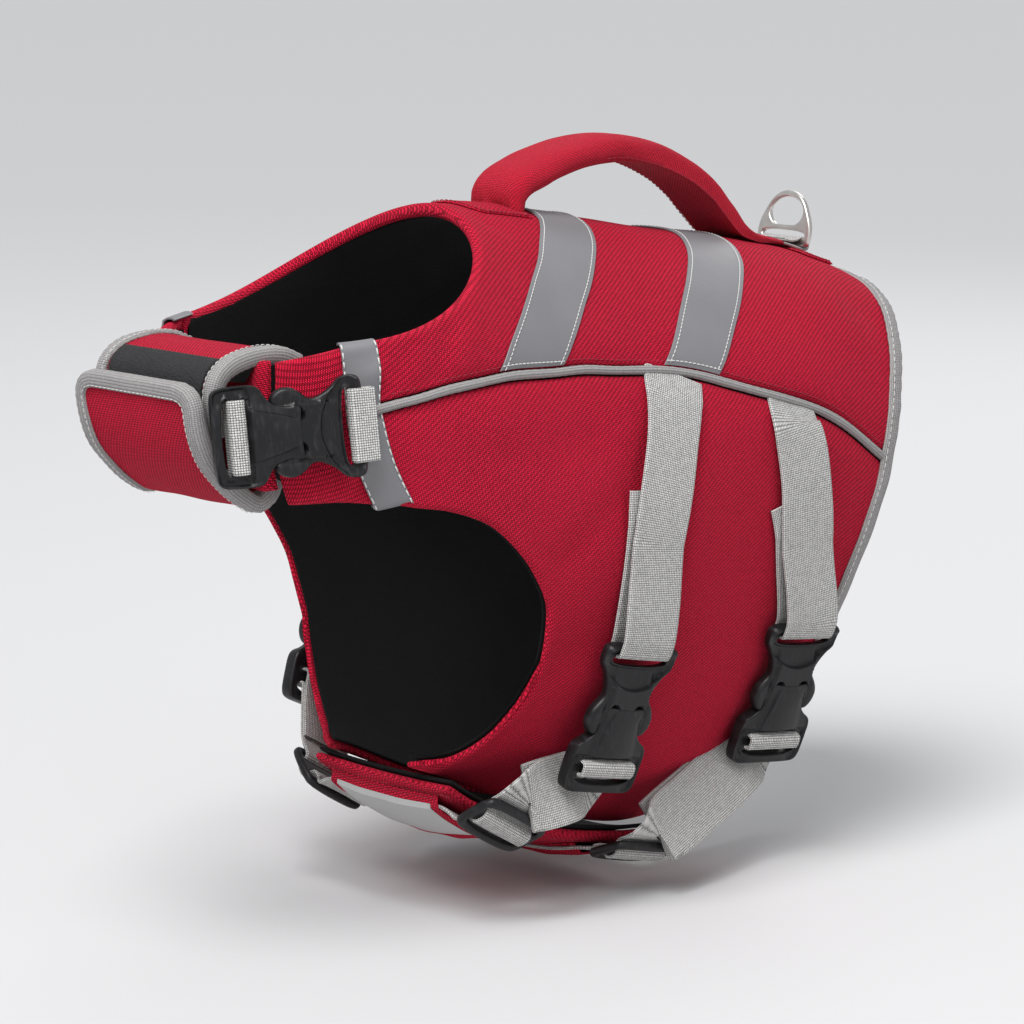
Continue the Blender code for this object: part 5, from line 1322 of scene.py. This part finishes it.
def moulded(outlines, thick, edge, relief=None, creases=(), tight=None, spacing=0.85):
    """Points and triangles of a plate with holes, its rims rounded and its outer face modelled.
    Relief gives how far the face stands out at (x, y), creases are lines that it turns sharply
    along, and tight says where on the rim the edge is hardly rounded."""
    outlines = [even_outline(chaikin(outline), spacing) for outline in outlines]
    rim = np.concatenate(outlines)
    low, high = rim.min(axis=0), rim.max(axis=0)
    x, y = np.meshgrid(np.arange(low[0], high[0], spacing), np.arange(low[1], high[1], spacing * 0.87))
    x = x + spacing / 2 * (np.arange(len(x)) % 2)[:, None]
    inner = np.stack([x.ravel(), y.ravel()], 1)
    depth, inside = to_outlines(inner, outlines)
    inner = inner[inside & (depth > edge + spacing * 0.55)]
    close = []
    for crease in creases:
        line = sampled(crease, np.arange(0, run(crease)[-1], 0.55))
        side = np.gradient(line, axis=0)
        normal = unit(np.stack([-side[:, 1], side[:, 0]], 1))
        for offset in (-0.75, -0.45, -0.2, 0, 0.2, 0.45, 0.75):
            shifted_line = line + normal * offset
            depth, inside = to_outlines(shifted_line, outlines)
            close.append(shifted_line[inside & (depth > edge + 0.3)])
        inner = inner[np.min(np.linalg.norm(inner[:, None] - line[None], axis=-1), axis=1) > 1.1]
    for outline in outlines:
        side = np.roll(outline, -1, axis=0) - np.roll(outline, 1, axis=0)
        normal = unit(np.stack([-side[:, 1], side[:, 0]], 1))
        for step in (0.08, 0.3, 0.62, 1.0):
            for way in (1, -1):
                ring = outline + normal * edge * step * way
                depth, inside = to_outlines(ring, outlines)
                close.append(ring[inside & (depth > edge * step * 0.93)])
    points = np.concatenate([rim] + close + [inner])
    edges, start = [], 0
    for outline in outlines:
        index = np.arange(start, start + len(outline))
        edges += np.stack([index, np.roll(index, -1)], 1).tolist()
        start += len(outline)
    found, _, triangles, *_ = delaunay_2d_cdt([Vector(point) for point in points], edges, [], 0, 1e-5)
    found, triangles = np.array([tuple(point) for point in found]), np.array(triangles)
    _, inside = to_outlines(found[triangles].mean(axis=1), outlines)
    triangles = triangles[inside]
    depth, _ = to_outlines(found, outlines)
    depth[:len(rim)] = 0
    corner = np.full(len(found), edge) if tight is None else edge - (edge - 0.2) * tight(found[:, 0], found[:, 1])
    round_off = corner * (rolled(depth / corner, 1) - 1)
    stands_out = relief(found[:, 0], found[:, 1]) * np.clip(depth / corner, 0, 1) if relief else 0
    outer = thick / 2 + round_off + stands_out
    inner = -thick / 2 - round_off
    solid = np.concatenate([np.column_stack([found, outer]), np.column_stack([found, inner])])
    walls = np.array(edges)
    faces = triangles.tolist() + (triangles[:, ::-1] + len(found)).tolist()
    faces += np.column_stack([walls, walls[:, ::-1] + len(found)]).tolist()
    return solid, faces


def hard_piece(name, node, points, faces, finish, slot, sharp=40):
    """A moulded or stamped piece in its place, for its node."""
    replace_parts(add_piece(name, points, faces, finish, sharp), node)


def frame_of(origin, along, outward):
    """An origin and axes: Y along the webbing, Z away from the body."""
    y = unit(np.asarray(along, float))
    z = np.asarray(outward, float)
    z = unit(z - y * np.dot(z, y))
    return np.asarray(origin, float), np.stack([np.cross(y, z), y, z])


def placed(points, at, side=1):
    """Points of a frame in the jacket's own frame, mirrored for its right side."""
    return (at[0] + np.asarray(points, float) @ at[1]) * (side, 1, 1)


def arc(radius, height, start, end, steps, squeeze=1.0):
    angles = np.radians(np.linspace(start, end, steps + 1))
    return [(radius * math.cos(angle), height + radius * squeeze * math.sin(angle)) for angle in angles]


def slot_outline(half, low, high):
    return [(half, low), (half, high), (-half, high), (-half, low)]


def steel_material():
    made, tree, shader = new_material("bright_steel")
    place = put(tree, "ShaderNodeTexCoord").outputs["Object"]
    drawn = put(tree, "ShaderNodeMapping", [(place, "Vector")], Scale=(900, 120, 120)).outputs[0]
    lines = noise(tree, drawn, Scale=3.0, Detail=3.0)
    haze = noise(tree, place, Scale=240.0, Detail=4.0)
    wire(tree, shader, blend(tree, haze, (0.50, 0.48, 0.45), (0.80, 0.78, 0.75)),
         sums(tree, "MULTIPLY_ADD", haze, 0.25, 0.2), bump(tree, lines, 0.04, 0.4))
    shader["Metallic"].default_value = 1.0
    return made


def on_ridge(y, out):
    """The point above the ridge of the back at this y."""
    at = np.linspace(0, 1, 300)
    return body(np.interp(y, on_form(at, 0.0)[:, 1], at), 0.0, out)


RING_HALF_BASE, RING_TOP, RING_THICK, RING_SLOT_LOW, RING_SLOT = 13.5, 20.0, 2.4, 1.4, 3.2
RING_Y, RING_LEAN, RING_TAB, RING_PLY = 63.5, math.radians(12), 0.8, 1.0
RING_BAR_OUT = LAID + RING_TAB + CLEAR + RING_PLY + CLEAR + RING_SLOT_LOW
RING_HALF = [
    (0, -1.4), (12, -1.4), (RING_HALF_BASE, -0.6), (13.8, 4.0), (12.9, 8.4), (11.0, 12.0), (9.3, 15.2),
    (6.9, 17.8), (3.8, 19.6), (0, RING_TOP + 0.2),
]
outline = RING_HALF + [(-x, y) for x, y in RING_HALF[-2:0:-1]]
hole = arc(8.7, 11.6, -58, 238, 30, 6.0 / 8.7)
slot = slot_outline(RING_HALF_BASE - 2.4, RING_SLOT_LOW, RING_SLOT_LOW + RING_SLOT)
points, faces = moulded([outline, hole, slot], RING_THICK, 0.8, spacing=0.7)
ring_up = np.array([0, math.sin(RING_LEAN), math.cos(RING_LEAN)])
ring_across = np.array([1.0, 0, 0])
ring_at = (on_ridge(RING_Y, RING_BAR_OUT), np.stack([ring_across, ring_up, np.cross(ring_across, ring_up)]))
hard_piece("stamped_ring", "d_ring", placed(points, ring_at), faces, steel_material(), "steel", 50)


# ---- webbing and strap routes ----------------------------------------------------------------
# Light grey polyester webbing, 25 mm wide, ribbed across, with a rounded selvedge down each side.

# The span from dark to light is painted shade between the ribs of the weave.
WEBBING_CLOTH = cloth_material("light_grey_webbing", Cloth(
    dark=(0.12, 0.12, 0.115), light=(0.76, 0.75, 0.735), faded=(0.60, 0.59, 0.57), roughness=0.85,
    sheen=0.04, sheen_tint=(1, 1, 1), yarn=(0.85, 0.8), turn=0, repeat=2.0, slub=0.5, relief=0.6, fuzz=0.08,
    under=0.12, fade=0.2,
))
WEBBING_WIDTH, WEBBING = 25.0, 1.4


def webbing(name, node, route, width=WEBBING_WIDTH, thick=WEBBING, side=1):
    """Webbing along a route of (point, across) pairs, its folds rounded. Mirrored for the right."""
    points, across = (np.array([pair[i] for pair in route], float) for i in (0, 1))
    both = chaikin(np.concatenate([points, across], axis=1), 3, closed=False)
    along = run(both[:, :3])
    even = np.linspace(0, along[-1], max(12, round(along[-1] / 1.0)))
    both = sampled(both, even, along)
    points, across = both[:, :3], both[:, 3:]
    ahead = unit(np.gradient(points, axis=0))
    across = unit(across - ahead * np.sum(across * ahead, axis=1, keepdims=True))
    up = np.cross(ahead, across)
    half, rim = width / 2, thick / 2
    selvedge = [(0, 0), (0.12, 0.55), (0.5, 0.92), (1.3, 0.98), (1.9, 0.86)]
    upper = [(x - half, y) for x, y in selvedge] + [(-half / 2, 0.98), (0, 1)]
    upper += [(-x, y) for x, y in upper[-2::-1]]
    section = upper + [(-x, -y) for x, y in upper[1:-1]]
    wave = 1 + 0.012 * np.sin(even / 6.1)[:, None, None]
    rings = np.stack([points + across * a + up * b * rim for a, b in section], 1)
    rings = points[:, None] + (rings - points[:, None]) * wave
    made = loft_piece(name, node, rings * (side, 1, 1), WEBBING_CLOTH, 50)


low = LAID + RING_TAB + CLEAR + RING_PLY / 2
path = [
    (54.2, low), (60.5, low), (RING_Y + 2.4, low), (RING_Y + 3.4, low + 0.8), (RING_Y + 3.4, low + 3.2),
    (RING_Y + 1.6, low + 4.3), (RING_Y - 1.4, low + 4.2), (60.4, low + 2.4), (57, low + 1.4), (54.2, low + 1.4),
]
route = [(on_ridge(y, out), (1, 0, 0)) for y, out in path]
webbing("sewn_ring_loop", "d_ring_loop", route, 2 * RING_HALF_BASE - 6.4, RING_PLY)


# ---- side-release buckles --------------------------------------------------------------------
# Satin black acetal, moulded in two halves. The male half's two prongs are sprung into the windows
# of the female half, and a ridged panel runs down the female half to its two webbing bars.


def plastic_material():
    made, tree, shader = new_material("satin_black_acetal")
    place = put(tree, "ShaderNodeTexCoord").outputs["Object"]
    spark = noise(tree, place, Scale=1900.0, Detail=2.0)
    along = put(
        tree, "ShaderNodeMapping", [(place, "Vector")], Scale=(60, 420, 130), Rotation=(0.4, 0.3, 0.5)
    ).outputs[0]
    scuff = noise(tree, along, Scale=1.6, Detail=4.0, Distortion=0.7)
    worn = put(tree, "ShaderNodeMapRange", [(scuff, "Value")], From_Min=0.5, From_Max=0.75).outputs[0]
    wire(tree, shader, blend(tree, worn, (0.007, 0.007, 0.008), (0.020, 0.020, 0.022)),
         sums(tree, "MULTIPLY_ADD", worn, 0.16, 0.38), bump(tree, spark, 0.03, 0.5))
    shader["Specular IOR Level"].default_value = 0.32
    return made


plastic_piece = partial(hard_piece, finish=plastic_material(), slot="black_plastic")
BUCKLE_END, END_BAR, SLOT, SLOT_WIDTH, MALE_THICK, FEMALE_THICK = 28.5, 3.2, 4.6, 26.4, 4.0, 6.0
MALE_BAR, FEMALE_BAR = -BUCKLE_END + END_BAR / 2, BUCKLE_END - END_BAR - SLOT - END_BAR / 2


def both_sides(half):
    """A whole outline from its right half, from the middle of one end to the middle of the other."""
    return half + [(-x, y) for x, y in reversed(half) if x > 0.01]


def bar_slot(low, tall=SLOT):
    """The slot that webbing passes through beside a bar."""
    return slot_outline(SLOT_WIDTH / 2, low, low + tall)


def dish_line(x):
    """Y of the rim of the male half's dish."""
    return -11.8 - 8.6 * (x / 16) ** 2


def panel_half(y):
    """Half the width of the female half's raised panel."""
    return 2.6 + 6.6 * np.clip((y + 6.5) / 22.5, 0, 1) ** 0.62


def male_relief(x, y):
    """Waist level with the female half, a curved dish down to the slot, and domed prong tips."""
    waist = 1.45 * eased_step((y + 21) / 8) * eased_step((9.6 - np.abs(x)) / 0.8)
    dish = -1.7 * eased_step((dish_line(x) - y + 0.2) / 0.9) * eased_step((y + 29) / 5)
    tips = 0.5 * eased_step((np.abs(x) - 9.5) / 2) * eased_step((y + 8) / 3)
    bar = 1.0 * np.exp(-(((y + 27) / 1.7) ** 2))
    shoulders = 0.8 * eased_step((np.abs(x) - 12.5) / 3) * eased_step((-16 - y) / 4)
    return waist + dish + tips + bar + shoulders


def female_relief(x, y):
    """A raised, arched panel between two grooves, and the end frame a step lower."""
    edge = panel_half(y) - np.abs(x)
    panel = eased_step((edge + 0.25) / 0.5) * eased_step((14.6 - y) / 0.5)
    arch = 0.9 * np.clip(1 - (x / 9.5) ** 2, 0, 1) * eased_step((y + 8) / 14) * panel
    crown = 0.45 * (1 - (x / 11) ** 2)
    sides = -0.5 * eased_step(-edge / 3) * eased_step((y + 3) / 6)
    frame_step = -0.9 * eased_step((y - 14.4) / 0.5)
    line = -0.45 * np.exp(-(((y - 14.2) / 0.3) ** 2))
    return crown + 0.35 * panel * eased_step((y + 6) / 5) + arch + sides + frame_step + line


MALE_HALF = [
    (0, 13), (3.6, 12), (3.6, -5.4), (8.0, -5.4), (8.2, 3.4), (9.9, 6.4), (12.4, 6.2), (14.6, 3.6), (15.4, 0.2),
    (14.9, -2.8), (13.0, -5.8), (11.0, -8.0), (10.7, -10.4), (11.8, -13.6), (13.8, -17.2), (16.6, -20.2),
    (17.4, -22.8), (17.4, -26.6), (15.8, -28.9), (8, -29.0), (0, -29.0),
]
FEMALE_HALF = [
    (0, -4.8), (4.5, -4.8), (8.8, -5.2), (9.4, -3.6), (9.2, -1), (9.3, 2.4), (10.4, 5.8), (12.8, 8.2), (15.8, 9.8),
    (17.2, 12.4), (17.2, 20), (16.9, 26.0), (15, BUCKLE_END), (8, BUCKLE_END + 0.2), (0, BUCKLE_END + 0.2),
]
bows = np.linspace(-6, 14.2, 30)
ogive = [np.stack([sign * panel_half(bows), bows], 1) for sign in (1, -1)]
parting = np.stack([np.linspace(-15.6, 15.6, 20), np.full(20, 14.35)], 1)
spread = np.linspace(-14.6, 14.6, 40)
dish_edge = np.stack([spread, dish_line(spread) - 0.3], 1)
male_outlines = [both_sides(MALE_HALF), bar_slot(END_BAR - BUCKLE_END)]
male_shape = moulded(male_outlines, MALE_THICK, 1.2, male_relief, [dish_edge])
female_slots = [bar_slot(BUCKLE_END - END_BAR - SLOT), slot_outline(13.2, 15.5, 17.5)]
female_shape = moulded(
    [both_sides(FEMALE_HALF)] + female_slots, FEMALE_THICK, 1.3, female_relief, ogive + [parting],
    lambda x, y: ((y < -2.5) & (np.abs(x) < 9)) * 1.0,
)
GLIDE_HALF, GLIDE_BAR, GLIDE_SLOT, GLIDE_THICK = (16.0, 10.0), 4.0, 5.0, 3.0
glide_x, glide_y = GLIDE_HALF
glide_outline = [
    (glide_x, 0), (glide_x, glide_y - 3), (glide_x - 3, glide_y), (0, glide_y + 0.4), (3 - glide_x, glide_y),
    (-glide_x, glide_y - 3), (-glide_x, 3 - glide_y), (3 - glide_x, -glide_y), (0, -glide_y - 0.4),
    (glide_x - 3, -glide_y), (glide_x, 3 - glide_y),
]
glide_slots = [bar_slot(low, GLIDE_SLOT) for low in (GLIDE_BAR / 2, -GLIDE_BAR / 2 - GLIDE_SLOT)]
glide_outlines = [glide_outline] + glide_slots
glide_shape = moulded(glide_outlines, GLIDE_THICK, 1.1, lambda x, y: 0.5 - 0.002 * x**2, spacing=0.95)


# ---- belly straps ----------------------------------------------------------------------------
# Four straps. Each upper one comes out from under the piping, goes down the side and round the
# male half's bar, and its tail is tucked behind it. Each lower one goes round the female half's
# middle bar, doubled, through a tri-glide, and into its sleeve on the belly panel.

Strap = namedtuple("Strap", "sewn_u sewn_deg over_u over_deg over_out male female glide")
STRAPS = {
    "front_left": Strap(0.512, 60.8, 0.585, 95, 4.6, (75.0, -86.8, -133.6), (62.4, -94.8, -178.0), FRONT_GLIDE),
    "front_right": Strap(0.512, 60.8, 0.560, 88, 4.6, (78.2, -94.5, -124.5), (70.5, -113.5, -165.5), FRONT_GLIDE),
    "rear_left": Strap(0.742, 72.3, 0.842, 101, 5.6, (70.0, 4.0, -139.5), (55.0, 0.0, -184.0), REAR_GLIDE),
    "rear_right": Strap(0.742, 72.3, 0.842, 101, 5.6, (70.0, 4.0, -139.5), (55.0, 0.0, -184.0), REAR_GLIDE),
}
BUCKLE_OUTWARD, STRAP_OUT = np.array([0.93, -0.10, -0.35]), 1.9


def buckle_frame(male_bar, female_bar, outward, length=1.0):
    """The frame of a buckle whose male half's bar lies here, with the webbing toward the other bar."""
    male_bar, female_bar = np.array(male_bar, float), np.array(female_bar, float)
    along = unit(female_bar - male_bar)
    return frame_of(male_bar - along * MALE_BAR * length, along, outward)


def turns_in(at, across, turns):
    """Part of a route: places in the middle plane of a buckle or a glide, all with this across."""
    return [(placed((0, y, z), at), across) for y, z in turns]


def upper_route(strap, buckle, side):
    across = buckle[1][0]
    over = MALE_THICK / 2 + CLEAR + WEBBING / 2 + 0.1
    seam_u = np.array([strap.sewn_u - 0.02, strap.sewn_u, strap.sewn_u + 0.02])
    seam_deg = np.interp(seam_u, piping_line[:, 0], piping_line[:, 1])
    before, after = body(seam_u[[0, 2]], seam_deg[[0, 2]])
    seam_across = unit(before - after)
    seam_across = seam_across * np.sign(seam_across @ across)
    route = [(body(strap.sewn_u, (seam_deg[1] + 0.6) * side, -0.6) * (side, 1, 1), seam_across)]

    def down_side(fraction, out):
        """The point this far down the side and this high above it, on the left."""
        u = strap.sewn_u + (strap.over_u - strap.sewn_u) * fraction
        deg = strap.sewn_deg + (strap.over_deg - strap.sewn_deg) * fraction
        return body(u, deg * side, out) * (side, 1, 1)

    for fraction in np.linspace(0.08, 1, 14):
        out = 1.9 + (strap.over_out - 1.9) * math.sqrt(fraction) - 1.1 * math.exp(-fraction * 14)
        turned = seam_across * (1 - min(1, fraction * 3)) + across * min(1, fraction * 3)
        route.append((down_side(fraction, out), turned))
    back, near, far = MALE_BAR - 6, MALE_BAR + 1.4, MALE_BAR + 2.6
    route += turns_in(buckle, across, [
        (back, over), (near, over), (far, over - 0.9), (far, 0.9 - over), (near, -over), (back, -over),
    ])
    for fraction, forward in ((0.93, 1.2), (0.8, 2.6), (0.66, 4.2)):
        out = 2.0 + (strap.over_out - 2.0) * math.sqrt(fraction) - 1.9
        route.append((down_side(fraction, out) - (0, forward, 0), across))
    return route


def lower_route(strap, buckle, glide):
    over = FEMALE_THICK / 2 + CLEAR + WEBBING / 2 + 0.5
    near, far = FEMALE_BAR - END_BAR / 2 - 1.0, FEMALE_BAR + END_BAR / 2 + 1.0
    route = turns_in(buckle, buckle[1][0], [
        (far + 7.5, -over - 3.0), (far + 1, -over - 1.7), (near + 1.5, -over - 1.5), (near - 0.1, -over),
        (near, over - 0.9), (near + 0.9, over), (far - 0.9, over), (far, over - 0.9), (far, 0.9 - over),
        (far + 1, -over), (far + 7.5, -over - 1.4),
    ])
    across = -glide[1][0]
    route.insert(0, (placed((0, 13.0, -GLIDE_THICK / 2 - 3.2), glide), across))
    over = GLIDE_THICK / 2 + CLEAR + WEBBING / 2 + 0.25
    side = GLIDE_BAR / 2 + CLEAR + WEBBING / 2 + 0.45
    route += turns_in(glide, across, [
        (15.0, -over - 1), (10.0, -over), (side + 1.6, -over), (side + 0.2, 1.1 - over), (side - 0.2, over - 1.1),
        (side - 1.6, over), (1.6 - side, over), (0.2 - side, over - 1.1), (-side - 0.2, 1.1 - over),
        (-side - 1.6, -over), (-11.0, -over),
    ])
    along = belly_along(strap.glide[0][1] - 1.5)
    for across in (0.80, 0.6, 0.4, 0.2, 0.04):
        lengthwise = on_belly(along + 0.02, across) - on_belly(along - 0.02, across)
        route.append((on_belly(along, across, STRAP_OUT), -unit(lengthwise)))
    return route


for ending, strap in STRAPS.items():
    side_name = ending.split("_")[1]
    side = SIDES[side_name]
    buckle = buckle_frame(strap.male, strap.female, BUCKLE_OUTWARD)
    place, glide_out, glide_across = strap.glide
    along = np.cross(unit(np.array(glide_out)), glide_across)
    glide = frame_of(place, along * np.sign(along[2]), glide_out)
    webbing("sewn_upper_strap_" + ending, "upper_strap_" + ending, upper_route(strap, buckle, side), side=side)
    webbing("sewn_lower_strap_" + ending, "lower_strap_" + ending, lower_route(strap, buckle, glide), side=side)
    for half, (points, faces) in (("male", male_shape), ("female", female_shape)):
        plastic_piece(f"moulded_{half}_{ending}", f"buckle_{half}_{ending}", placed(points, buckle, side), faces)
    points, faces = glide_shape
    plastic_piece("moulded_glide_" + ending, "tri_glide_" + ending, placed(points, glide, side), faces)


# ---- neck buckle -----------------------------------------------------------------------------
# The same buckle, a little shorter, between the left arm and the strap inside the wrap. Each half
# holds a short loop of webbing.

NECK_SHORT, NECK_MALE, NECK_END = 0.9, (60.1, -206.6, -41.3), (36.7, -249.4, -44.5)
buckle = buckle_frame(NECK_MALE, NECK_END, (0.875, -0.48, 0.1), NECK_SHORT)
for half, (points, faces) in (("male", male_shape), ("female", female_shape)):
    at = placed(points * (1, NECK_SHORT, 1), buckle)
    plastic_piece(f"moulded_{half}_neck", f"buckle_{half}_neck", at, faces)
bar, half_bar = MALE_BAR * NECK_SHORT, END_BAR / 2 * NECK_SHORT
over, near, far = MALE_THICK / 2 + 1.1, bar + half_bar + 1.0, bar - half_bar - 4.6
route = turns_in(buckle, buckle[1][0], [
    (far, -over), (near - 0.9, -over), (near, 0.9 - over), (near, over - 0.9), (near - 0.9, over),
    (far, over - 1.2),
])
webbing("sewn_neck_loop_arm", "neck_loop_arm", route)
bar = FEMALE_BAR * NECK_SHORT
over, near, far = FEMALE_THICK / 2 + 1.1, bar - half_bar - 1.0, bar + half_bar + 1.0
route = turns_in(buckle, buckle[1][0], [
    (near, 0.9 - over), (near, over - 0.9), (near + 0.9, over), (far - 0.9, over), (far, over - 0.9),
    (far, 0.9 - over), (far + 0.7, 0.3 - over),
])
webbing("sewn_neck_loop_wrap", "neck_loop_wrap", route)
